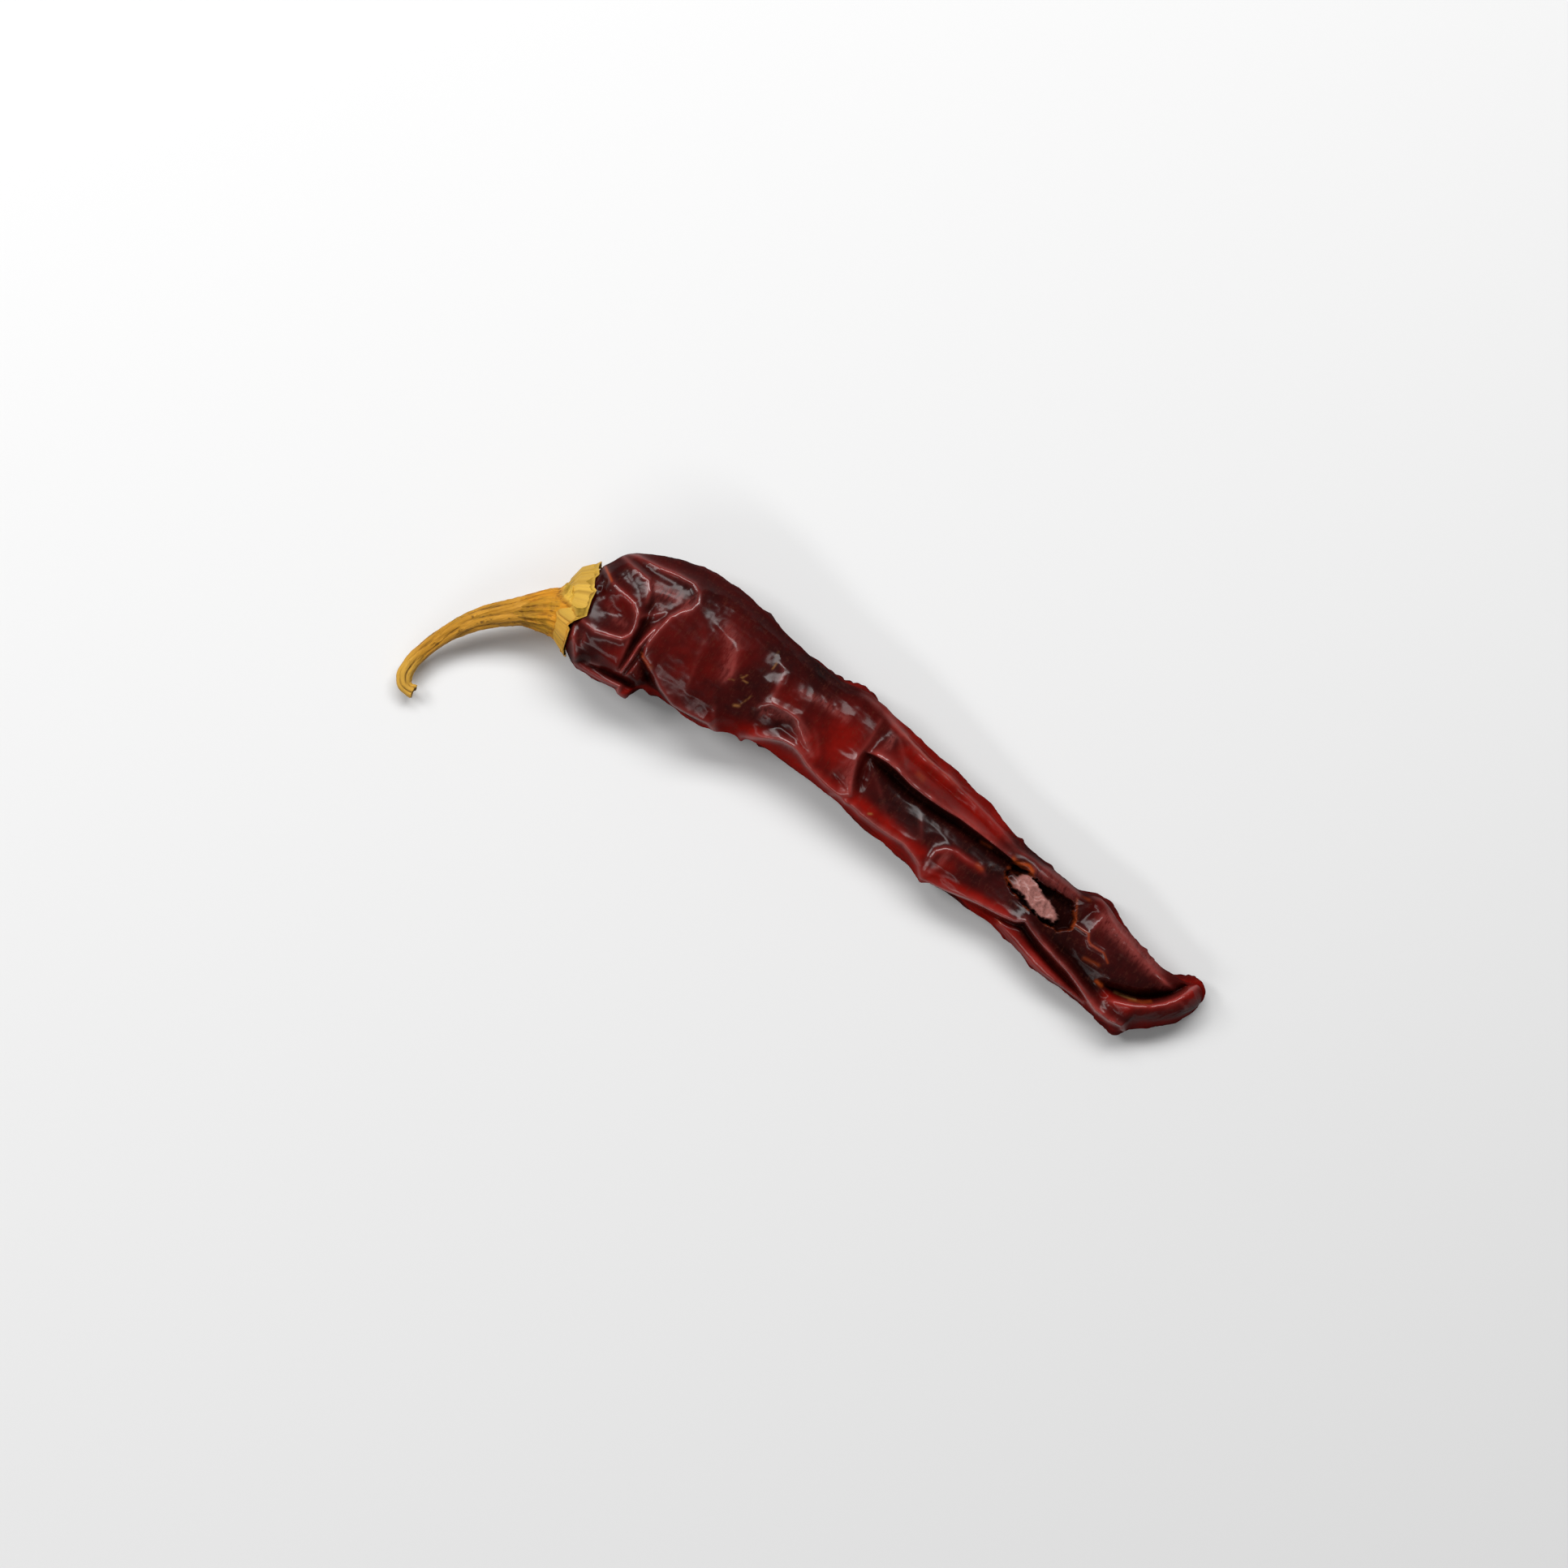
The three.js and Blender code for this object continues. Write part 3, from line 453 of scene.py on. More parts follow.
def closed_mesh(name, rows, marks):
    """A closed mesh from rings of points: quads between rings, and a fan to the single point at each end.
    marks are per-point numbers or vectors for the material."""
    count, sides = rows.shape[:2]
    points = np.concatenate([rows[0, :1], rows[1:-1].reshape(-1, 3), rows[-1, :1]])
    ring = 1 + np.arange((count - 2) * sides).reshape(count - 2, sides)
    here, there = ring[:-1], ring[1:]
    quads = np.stack([here, there, np.roll(there, -1, 1), np.roll(here, -1, 1)], -1).reshape(-1, 4)
    last = len(points) - 1
    first_fan = np.stack([np.zeros(sides, int), ring[0], np.roll(ring[0], -1)], -1)
    last_fan = np.stack([np.full(sides, last), np.roll(ring[-1], -1), ring[-1]], -1)
    fans = np.concatenate([first_fan, last_fan])
    split = np.concatenate([quads[:, [0, 1, 2]], quads[:, [0, 2, 3]], fans])
    corners = points[split]
    volume = np.einsum("ij,ij->", corners[:, 0], np.cross(corners[:, 1], corners[:, 2]))
    if volume < 0:
        quads, fans = quads[:, ::-1], fans[:, ::-1]
    loops = np.concatenate([quads.ravel(), fans.ravel()])
    sizes = np.concatenate([np.full(len(quads), 4), np.full(len(fans), 3)])
    mesh = bpy.data.meshes.new(name)
    mesh.vertices.add(len(points))
    mesh.vertices.foreach_set("co", points.astype(np.float32).ravel())
    mesh.loops.add(len(loops))
    mesh.loops.foreach_set("vertex_index", loops.astype(np.int32))
    mesh.polygons.add(len(sizes))
    mesh.polygons.foreach_set("loop_start", (np.cumsum(sizes) - sizes).astype(np.int32))
    mesh.update(calc_edges=True)
    mesh.validate()
    mesh.shade_smooth()
    for label, values in marks.items():
        vector = values.ndim == 3
        middle = values[1:-1].reshape((-1, 3) if vector else -1)
        flat = np.concatenate([values[0, :1], middle, values[-1, :1]])
        attribute = mesh.attributes.new(label, "FLOAT_VECTOR" if vector else "FLOAT", "POINT")
        attribute.data.foreach_set("vector" if vector else "value", flat.astype(np.float32).ravel())
    return in_scene(name, mesh)


def outward(grid):
    """Unit normals of a grid whose columns close on themselves, by the cross product of its slopes."""
    along = np.gradient(grid, axis=0)
    around = np.roll(grid, -1, 1) - np.roll(grid, 1, 1)
    normal = np.cross(around, along)
    length = np.linalg.norm(normal, axis=2, keepdims=True)
    return normal / np.maximum(length, 1e-9)


def on_table(height):
    """Heights pressed flat where they would go below the table: half the sum of the height and the
    root of its square and a small square, near the table only."""
    pressed = 0.5 * (height + np.sqrt(height**2 + PRESSED_EDGE**2))
    return np.where(height < NEAR_TABLE, pressed, height)


def pod_skin_grid():
    """The pod as rings from shoulder to tip, and the paint on it. Each ring is a superellipse between the
    outline's sides that reaches from the seam up to the crest and down to the underside. Creases, grooves,
    swells and the tear lift or sink its top, straight up in the middle and along the ring's normal by
    the seams. Random creases and crumpling cover the rest, and what would go below the table is pressed
    flat on it."""
    share = np.linspace(0, 1, POD_STEPS)
    share = share - RING_GATHERING * np.sin(TAU * share)
    x_low, x_high = DRAWN_LOW[0], DRAWN_HIGH[0]
    along = x_low + share * (x_high - x_low)
    under_share = np.linspace(0, 1, UNDER_SIDES, endpoint=False)
    turn = np.concatenate([
        np.linspace(0, np.pi, TOP_SIDES, endpoint=False),
        np.pi * (1 + under_share - UNDER_GATHERING * np.sin(TAU * under_share)),
    ])
    x, turn = np.meshgrid(along, turn, indexing="ij")
    low, high, crest, seam, under = along_stations(x)
    size = np.minimum(rounded(x - x_low, SHOULDER_CAP), rounded(x_high - x, TIP_CAP))
    across = np.cos(turn)
    up = np.sign(np.sin(turn)) * (1 - np.abs(across) ** SECTION_POWER) ** (1 / SECTION_POWER)
    y = (low + high) / 2 + across * size * (high - low) / 2
    z = seam + size * up * np.where(up > 0, crest - seam, seam - under)
    base = np.stack([x, y, z], -1)

    top = smooth(0.0, 0.45, up) * size
    rise = hung(CREASES, x, y)
    # a narrow band along each crease's crest, painted with a highlight; the coat is also stronger there
    crest = hung([(line, CREST_WIDTH, CREST_WIDTH) for line, *_ in CREASES], x, y)
    sink = hung(GROOVES, x, y, GROOVE_ROUNDING)
    swell = sum(h * np.exp(-(((x - cx) / rx) ** 2) - ((y - cy) / ry) ** 2) for cx, cy, rx, ry, h in SWELLS)
    in_tear = inside(TEAR, x, y, 31)
    torn = smooth(0, TORN_EDGE, in_tear)
    flake = smooth(0, TORN_EDGE, inside(FLAKE, x, y, 37)) * (0.85 + 0.3 * crumple(x * 0.7, y * 0.7, 41))
    lift = rise - sink + swell - TEAR_DEPTH * torn + FLAKE_RISE * flake
    fine = uneven(x * 0.22, y * 0.35, 3)

    girth = turn / TAU * 10
    rough_sides = uneven(x * 0.11, girth, 11, 10)
    rough_fine = uneven(x * 0.3, girth * 2, 19, 20)
    off_top = 1 - smooth(0.05, 0.6, up)
    place = np.where(turn < 0.5, turn + TAU, turn) / TAU * GIRTH
    side_rise = hung(side_creases(), x, place)
    side_lift = SIDE_RELIEF * rough_sides + SIDE_FINE_RELIEF * rough_fine + side_rise - SIDE_SINK
    micro = uneven(x * 0.5, girth * 2.2, 43, 22)
    upright = smooth(0.2, 0.75, up)[..., None]
    direction = outward(base) * (1 - upright) + np.array([0, 0, 1.0]) * upright
    lifted = (lift + TOP_RELIEF * fine) * top + side_lift * off_top * size + MICRO_RELIEF * micro * size
    grid = base + direction * lifted[..., None]
    for line, _, _, *lean in CREASES:
        if lean:
            shift = lean[0] * hanging([(px, py, 1) for px, py, _ in line], LEAN_REACH, LEAN_REACH, x, y)
            grid[..., 1] += shift * smooth(0.3, 0.6, up)
    grid[..., 2] = on_table(grid[..., 2])

    on_top = smooth(-0.1, 0.3, up)
    patchy = smooth(0.3, 0.75, crumple(x * 0.11, girth * 1.2, 53, 12))
    low_side = smooth(0.6, 0.92, -across) * smooth(-0.5, 0.1, up)
    low_wall = low_side * smooth(*RED_WALL_START, x) * (1 - 0.5 * smooth(*RED_WALL_FADE, x))
    low_wall = low_wall * (0.3 + 0.7 * np.maximum(patchy, smooth(0.0, 0.3, up)))
    thin = paint(THIN_LINES, THIN_PATCHES, x, y) * on_top
    thin = np.maximum(thin, np.maximum(WALL_THIN * low_wall, UNDER_THIN * patchy * (1 - on_top)))
    edge = np.exp(-((in_tear / LIP_WIDTH) ** 2)) * on_top
    jagged = smooth(0.4, 0.7, lattice_noise(x * 0.9, y * 0.9, 59))
    lips = paint(LIP_LINES, [], x, y) * smooth(0.4, 0.75, up) + 0.3 * edge * jagged
    # Painted shade: darker in grooves, in the open tear and along the shade lines and patches, and on the
    # sides in the furrows between creases.
    shade = paint(SHADE_LINES, SHADE_PATCHES, x, y) * (1 - flake * torn)
    hollow_shade = np.clip((sink - 0.4 * rise) / 2.2 + torn * (1 - flake) + shade, 0, 1) * top
    side_shade = 0.7 * off_top * (1 - smooth(-0.3, 0.05, rough_sides)) * (1 - smooth(0.3, 0.8, side_rise))
    hollow_shade = np.maximum(hollow_shade, side_shade)
    # ridge: redder on crests, partly stretched thin skin and partly painted light that lifts the creases
    ridge = np.clip((rise - 0.35) / 1.2, 0, 1) * top + np.clip(side_rise - 0.2, 0, 1) * off_top
    gloss = STEEP_GLOSS + (1 - STEEP_GLOSS) * smooth(0.5, 0.95, up)
    marks = {
        "thin": thin,
        "lip": np.clip(lips, 0, 1),
        "hollow_shade": hollow_shade,
        "ridge": np.clip(ridge, 0, 1),
        # the flake's paler inner skin with a painted highlight, from where it turns pale
        "flake": flake * torn * top * smooth(*FLAKE_PALE, x + 0.3 * y),
        "gloss": gloss * (1 - HOLLOW_DULLING * hollow_shade) * (1 - THIN_DULLING * thin),
        "crest": np.clip(crest, 0, 1) * top,
        # a painted sheen that stands in for highlights on the proud folds
        "painted_sheen": paint(SHEEN_LINES, [], x, y) * on_top,
        "scar": paint(SCARS, [], x, y) * on_top,
    }
    return grid, marks


def build_pod():
    """The pod's skin, placed where the CAD has it."""
    grid, marks = pod_skin_grid()
    return closed_mesh("pod_skin", placed(grid), marks)


# ---- calyx and stem


def carried(path, side_radius, top_radius, around):
    """Rings along a nearly level path: at each point, an oval across its heading, from its centre out to
    side_radius left and right and top_radius up and down. around is each column's angle, 0 to the left."""
    heading = np.gradient(path, axis=0)
    heading /= np.linalg.norm(heading, axis=1, keepdims=True)
    side = np.cross([0, 0, 1.0], heading)
    side /= np.linalg.norm(side, axis=1, keepdims=True)
    top = np.cross(heading, side)
    return (
        path[:, None]
        + side[:, None] * (side_radius * np.cos(around))[..., None]
        + top[:, None] * (top_radius * np.sin(around))[..., None]
    )


def with_poles(rings):
    """Rings closed by a point at each end, in the middle of the first and of the last ring."""
    ends = [np.repeat(rings[k].mean(0)[None, None], rings.shape[1], 1) for k in (0, -1)]
    return np.concatenate([ends[0], rings, ends[1]])


def with_ends(values, last=1):
    """Rings of values with the first one repeated, and the last one as often as said, to fit the rings
    that close the mesh."""
    return np.concatenate([values[:1], values, np.repeat(values[-1:], last, 0)])


def smooth_path(points, count):
    """A path through points, at even steps along it: cubic in each run, with the slope at a point taken
    from its two neighbours."""
    points = np.asarray(points, float)
    chord = np.concatenate([[0], np.cumsum(np.linalg.norm(np.diff(points[:, :2], axis=0), axis=1))])
    slope = np.gradient(points, chord, axis=0)
    fine = np.linspace(0, chord[-1], count * 6)
    k = np.clip(np.searchsorted(chord, fine, side="right") - 1, 0, len(points) - 2)
    span = (chord[k + 1] - chord[k])[:, None]
    t = (fine - chord[k])[:, None] / span
    path = (
        points[k] * (1 + 2 * t) * (1 - t) ** 2 + points[k + 1] * t**2 * (3 - 2 * t)
        + slope[k] * span * t * (1 - t) ** 2 - slope[k + 1] * span * t**2 * (1 - t)
    )
    length = np.concatenate([[0], np.cumsum(np.linalg.norm(np.diff(path[:, :3], axis=0), axis=1))])
    at = np.linspace(0, length[-1], count)
    return np.stack([np.interp(at, length, path[:, c]) for c in range(path.shape[1])], 1)


# The stem's centreline in plan with its width, from inside the calyx to the cut end.
STEM_ROUTE = [
    (-5.6, -3.9, 4.4), (-7, -5.1, 4.2), (-8.4, -6.4, 4), (-9.9, -7.8, 3.7), (-11.7, -9.7, 3.35),
    (-13.4, -11.9, 3), (-14.9, -14.3, 2.6), (-16.1, -17, 2.4), (-17, -19.7, 2.3), (-17.45, -22.2, 2.35),
    (-17.25, -24.1, 2.4), (-16.5, -25.2, 2.2), (-15.5, -25.5, 1.9), (-14.7, -25.4, 1.9),
]
STEM_END_HEIGHT = 2.3
STEM_RIBS = 7
STEM_STEPS = 420
STEM_SIDES = 84
STEM_LENGTH = 36  # mm, for the grain along it
STEM_FLATTENING = 0.92
# Shares of the radius by which ribs, fibres and knots rise, and by which the cut end flares.
RIB, FIBRE, KNOT, FLARE = 0.15, 0.12, 0.05, 0.14
# The hollow of the cut end: shares of the end's radius, and mm back into the stem.
STEM_HOLLOW = ((0.8, 0.05), (0.6, 0.45), (0.25, 0.7))


def build_stem():
    """The stem: rings along its centreline, whose radius has seven ribs that wander and twist a little,
    lengthwise fibres and a few low knots. It droops from the calyx to the table in an even S, and its
    cut end flares and is hollowed."""
    route = smooth_path(STEM_ROUTE, STEM_STEPS)
    share = np.linspace(0, 1, STEM_STEPS)
    height = SEAM_AT_SHOULDER + (STEM_END_HEIGHT - SEAM_AT_SHOULDER) * smooth(0.05, 0.95, share)
    path = np.column_stack([route[:, :2], height])
    around = np.linspace(0, TAU, STEM_SIDES, endpoint=False)[None]
    length = (share * STEM_LENGTH)[:, None]
    twist = around + 0.9 * share[:, None] + 0.25 * np.sin(length * 0.35)
    ribs = np.abs(np.sin(twist * STEM_RIBS / 2)) ** 0.7 - 0.6
    fibres = uneven(length * 0.22, around / TAU * 14, 61, 14)
    knots = uneven(length * 0.5, around / TAU * 6, 67, 6)
    end = smooth(0.965, 1.0, share)[:, None]
    radius = route[:, 2:3] / 2 * (1 + RIB * ribs + FIBRE * fibres + KNOT * knots + FLARE * end * (1 + ribs))
    rings = carried(path, radius, radius * STEM_FLATTENING, around)
    heading = (path[-1] - path[-4]) / np.linalg.norm(path[-1] - path[-4])
    ragged = 0.35 * (lattice_noise(around[0] * 3, around[0] * 0, 71) - 0.4)
    rings[-1] += heading * ragged[:, None]
    middle = rings[-1].mean(0)
    inner = [middle + (rings[-1] - middle) * k - heading * d for k, d in STEM_HOLLOW]
    rings = np.concatenate([rings, np.stack(inner)])
    extra = len(inner)
    spread = np.concatenate([length, length[-1] + np.arange(1, extra + 1)[:, None]])
    turn = np.repeat(around, len(rings), 0)
    twisted = turn + 0.025 * spread
    fibre = np.stack([np.cos(twisted) * 2.2, np.sin(twisted) * 2.2, spread + 0 * turn], -1)
    # painted shade in the lows between ribs and fibres, and all dark inside the hollowed cut end
    groove_shade_and_tint = np.concatenate([np.clip(-1.4 * (ribs + fibres), 0, 1), np.ones((extra, STEM_SIDES))])
    papery = np.zeros_like(groove_shade_and_tint)
    worn = papery + 0.9 * smooth(24, 31, spread)
    marks = {"fibre": fibre, "groove_shade_and_tint": groove_shade_and_tint, "papery": papery, "edge": worn}
    marks = {label: with_ends(values) for label, values in marks.items()}
    return closed_mesh("stem_stalk", placed(with_poles(rings)), marks)


# The calyx as seen in plan, from the neck to the rim: its high edge, its low edge and its half height.
CALYX_STATIONS = [
    (-9.6, -5, -7.2, -7.7, 1.75), (-8.4, -3.5, -5.6, -7.1, 2.2), (-6.6, -1.2, -3.6, -6.6, 2.7),
    (-5.3, .2, -2.1, -6.3, 3.1), (-4.1, 1.2, -1, -6.3, 3.6), (-3.4, 2.7, -.1, -6.5, 4.3),
    (-3.05, 4.4, .6, -6.7, 5), (-2.4, 5.9, 1.2, -7, 5.6), (-1.7, 7.1, 1.6, -7.3, 6),
]
# How far its uneven rim reaches, as (angle in degrees, reach in mm): 0 is the high edge, 90 the top
# and 180 the low edge.
CALYX_RIM = [
    (0, .1), (22, .3), (38, .9), (46, .5), (63, 1), (66, 1.5), (77, 1.3), (96, 1.5), (100, .9), (107, -.1),
    (115, -.8), (118, -.3), (133, -.3), (153, -.3), (172, .1), (188, .3), (201, -.9), (210, -.3), (222, .9),
    (238, -.9), (250, 0), (262, .9), (279, -1.1), (290, 0), (300, .6), (322, -.6), (340, .5), (360, .1),
]
# The papery lobe's near edge: (angle in degrees, share of the way from the neck to the rim).
LOBE_EDGE = [
    (0, .62), (20, .6), (45, .6), (62, .66), (80, .78), (95, .84), (108, .97), (120, 1.2),
]
CALYX_STEPS = 170
CALYX_SIDES = 240
CALYX_LENGTH = 13  # mm, for the grain along it
CALYX_HEADING = np.array([0.98, 0.2, 0])
CALYX_WALL = 0.35
# How the surface turns in past the rim: in sixths of a wall inwards, and mm back from the rim.
RIM_TURN_IN = ((0.5, -0.1), (1, 0.1), (2, 1.0), (4, 2.2), (9, 3.0))
# Heights in mm: wrinkles, fibres, the lobe, the fold along its edge, the rim's curl and the slit.
WRINKLE_RISE, FIBRE_RISE, LOBE_RISE, FOLD_RISE, CURL_RISE, SLIT_DEPTH = 1.05, 0.5, 0.3, 0.35, 0.25, 0.5


def build_calyx():
    """The calyx: rings from the neck to the rim, each an oval between its high edge and its low edge in
    plan. The rim runs on to an uneven reach. A papery lobe lies on the upper side with a raised, ruffled
    edge, and lengthwise fibres run over the rest. Past the rim the surface turns in by the wall's
    thickness and goes back to a point."""
    around = np.linspace(0, TAU, CALYX_SIDES, endpoint=False)
    share = np.linspace(0, 1, CALYX_STEPS)[:, None]
    turn = np.repeat(around[None], CALYX_STEPS, 0)
    degrees = np.degrees(turn)
    edges = smooth_path(CALYX_STATIONS, CALYX_STEPS)
    high, low, half = edges[:, None, 0:2], edges[:, None, 2:4], edges[:, None, 4:5]
    girth = turn / TAU
    run = share * CALYX_LENGTH
    wrinkle = uneven(run * 0.42, girth * 14, 83, 14)
    fibre_lift = uneven(run * 0.12, girth * 26, 89, 26)
    ragged = crumple(girth * 30, run * 0.2, 97) - 0.5
    into_lobe = share - (np.interp(degrees, *zip(*LOBE_EDGE), right=1.2) + 0.05 * ragged)
    papery = smooth(-0.015, 0.015, into_lobe)
    lobe_fold = np.exp(-((into_lobe / 0.03) ** 2))
    off_slit = degrees - 62 - 40 * (share - 0.8)
    slit = np.exp(-((off_slit / 2.2) ** 2)) * smooth(0.72, 0.8, share)
    curl = smooth(0.9, 1.0, share)
    ripple = uneven(girth * 16, run * 0.06, 103) * curl
    relief = (
        WRINKLE_RISE * wrinkle * (0.2 + papery) + FIBRE_RISE * fibre_lift * (1 - papery)
        + LOBE_RISE * papery + FOLD_RISE * lobe_fold + ripple + CURL_RISE * curl - SLIT_DEPTH * slit
    ) * smooth(0, 0.12, share)
    middle = (high + low) / 2
    spoke = (high - low) / 2
    spoke_length = np.linalg.norm(spoke, axis=2, keepdims=True)
    wide = (1 + relief[..., None] / spoke_length) * np.cos(turn)[..., None]
    outer = np.concatenate([
        middle + spoke * wide,
        SEAM_AT_SHOULDER + (half + relief[..., None]) * np.sin(turn)[..., None],
    ], 2)
    reach = np.interp(np.degrees(around), *zip(*CALYX_RIM))
    outer += (smooth(0.6, 1.0, share) * reach)[..., None] * CALYX_HEADING
    rim = outer[-1]
    centre = rim.mean(0) - 0.6 * CALYX_HEADING
    inner = [centre + (rim - centre) * (1 - k * CALYX_WALL / 6) - CALYX_HEADING * d for k, d in RIM_TURN_IN]
    rings = np.concatenate([outer, np.stack(inner)])
    rings[..., 2] = on_table(rings[..., 2])
    fibre = np.stack([np.cos(turn) * 3.0, np.sin(turn) * 3.0, run - CALYX_LENGTH + 0 * turn], -1)
    # painted shade in the lows of wrinkles and fibres; then dark lines below the lobe's raised edge and in
    # the slit, painted shade where the lobe's relief sinks, and a real darker tint at the neck
    groove_shade_and_tint = np.clip(-1.6 * wrinkle - 1.3 * fibre_lift * (1 - papery), 0, 1)
    for deep in (
        0.9 * np.exp(-(((into_lobe + 0.045) / 0.02) ** 2)) * (papery < 0.5),
        slit,
        0.8 * (1 - smooth(-0.25, 0.12, relief)) * papery,
        0.75 * (1 - smooth(0.05, 0.5, share)) * smooth(-0.1, 0.15, wrinkle),
    ):
        groove_shade_and_tint = np.maximum(groove_shade_and_tint, deep)
    edge = np.maximum(smooth(0.955, 1.0, share), 0.7 * lobe_fold)
    marks = {"fibre": fibre, "groove_shade_and_tint": groove_shade_and_tint, "papery": papery, "edge": edge}
    marks = {label: with_ends(values, len(inner) + 1) for label, values in marks.items()}
    return closed_mesh("calyx_cap", placed(with_poles(rings)), marks)


# ---- materials

NEAR_BLACK, MAROON = (0.008, 0.0012, 0.0012, 1), (0.04, 0.0029, 0.0026, 1)
RED, ORANGE = (0.205, 0.0042, 0.0018, 1), (0.3, 0.045, 0.007, 1)
# Painted highlights: a pink one along the crests, and a pinkish grey sheen on proud folds.
PAINTED_CREST_HIGHLIGHT, PAINTED_SHEEN_GREY = (0.27, 0.036, 0.03, 1), (0.19, 0.034, 0.03, 1)
# Painted shade for the hollows; the flake's paler inner skin with a painted highlight.
PAINTED_SHADE_BLACK, INNER_SKIN_AND_HIGHLIGHT = (0.006, 0.0012, 0.0009, 1), (0.28, 0.115, 0.1, 1)
FRECKLE, SCAR_TAN = (0.08, 0.022, 0.012, 1), (0.22, 0.095, 0.03, 1)
STRAW, OLIVE, WORN_STRAW = (0.44, 0.205, 0.01, 1), (0.25, 0.145, 0.009, 1), (0.6, 0.36, 0.06, 1)
PAPER_DARK, PAPER_PALE = (0.17, 0.1, 0.007, 1), (0.56, 0.335, 0.04, 1)
PAPER_STREAK, PAPER_GREEN = (0.19, 0.09, 0.006, 1), (0.26, 0.175, 0.01, 1)


def give(node, inputs):
    """A node's inputs set to values or linked to sockets."""
    for key, value in inputs.items():
        if isinstance(value, bpy.types.NodeSocket):
            node.id_data.links.new(value, node.inputs[key])
        else:
            node.inputs[key].default_value = value


def add(tree, kind, inputs=None, **settings):
    """A node of one kind, with its settings and its inputs."""
    made = tree.nodes.new(kind)
    for key, value in settings.items():
        setattr(made, key, value)
    give(made, inputs or {})
    return made


def mixed(share, first, second):
    """A colour mixed from two by a share."""
    return add(share.id_data, "ShaderNodeMix", {0: share, 6: first, 7: second}, data_type="RGBA").outputs[2]


def layered(colour, layers):
    """A colour with others laid over it in turn, each by its share."""
    for share, tint in layers:
        colour = mixed(share, colour, tint)
    return colour


def maths(operation, first, second, clamp=False):
    """Two values added or multiplied, and held between 0 and 1 where clamp says so."""
    values = {0: first, 1: second}
    return add(first.id_data, "ShaderNodeMath", values, operation=operation, use_clamp=clamp).outputs[0]


times = partial(maths, "MULTIPLY")
plus = partial(maths, "ADD")


def ranged(value, low, high, to_low=0.0, to_high=1.0):
    """A value's range stretched to another, with its ends held."""
    ends = {"Value": value, "From Min": low, "From Max": high, "To Min": to_low, "To Max": to_high}
    return add(value.id_data, "ShaderNodeMapRange", ends).outputs[0]


def grain_group():
    """Fine grain for any skin: two sizes of noise over a vector, the finer one weighed by its share. It
    puts out a mask from 0 to 1 and a height."""
    group = bpy.data.node_groups.new("skin_grain", "ShaderNodeTree")
    for way, kind, names in (
        ("INPUT", "Vector", ("Vector",)),
        ("INPUT", "Float", ("Coarse Scale", "Fine Scale", "Fine Share")),
        ("OUTPUT", "Float", ("Mask", "Height")),
    ):
        for name in names:
            group.interface.new_socket(name=name, in_out=way, socket_type="NodeSocket" + kind)
    given = group.nodes.new("NodeGroupInput").outputs
    coarse = add(group, "ShaderNodeTexNoise", {
        "Vector": given["Vector"], "Scale": given["Coarse Scale"], "Detail": 3.0, "Roughness": 0.55,
        "Distortion": 0.4,
    }).outputs["Fac"]
    fine = add(group, "ShaderNodeTexNoise", {
        "Vector": given["Vector"], "Scale": given["Fine Scale"], "Detail": 2.0, "Roughness": 0.6,
    }).outputs["Fac"]
    both = plus(coarse, times(fine, given["Fine Share"]))
    add(group, "NodeGroupOutput", {"Mask": ranged(both, 0.45, 0.95), "Height": both})
    return group


def grain(group, vector, coarse, fine, fine_share):
    """The mask and the height of the fine grain over a vector, at two scales."""
    scales = {"Vector": vector, "Coarse Scale": coarse, "Fine Scale": fine, "Fine Share": fine_share}
    outputs = add(vector.id_data, "ShaderNodeGroup", scales, node_tree=group).outputs
    return outputs["Mask"], outputs["Height"]


def stretched(source, scale):
    """A vector multiplied by a scale for each axis."""
    return add(source.id_data, "ShaderNodeMapping", {"Vector": source, "Scale": scale}).outputs[0]


def painted(tree, name, output="Fac"):
    """A per-point number or vector of the mesh."""
    return add(tree, "ShaderNodeAttribute", attribute_name=name).outputs[output]


def bumped(height, strength, distance):
    """The normal of a surface that a height shapes."""
    relief = {"Height": height, "Strength": strength, "Distance": distance}
    return add(height.id_data, "ShaderNodeBump", relief).outputs[0]


def new_finish(name):
    """A material with its node tree and its shader."""
    material = bpy.data.materials.new(name)
    material.use_nodes = True
    return material, material.node_tree, material.node_tree.nodes["Principled BSDF"]


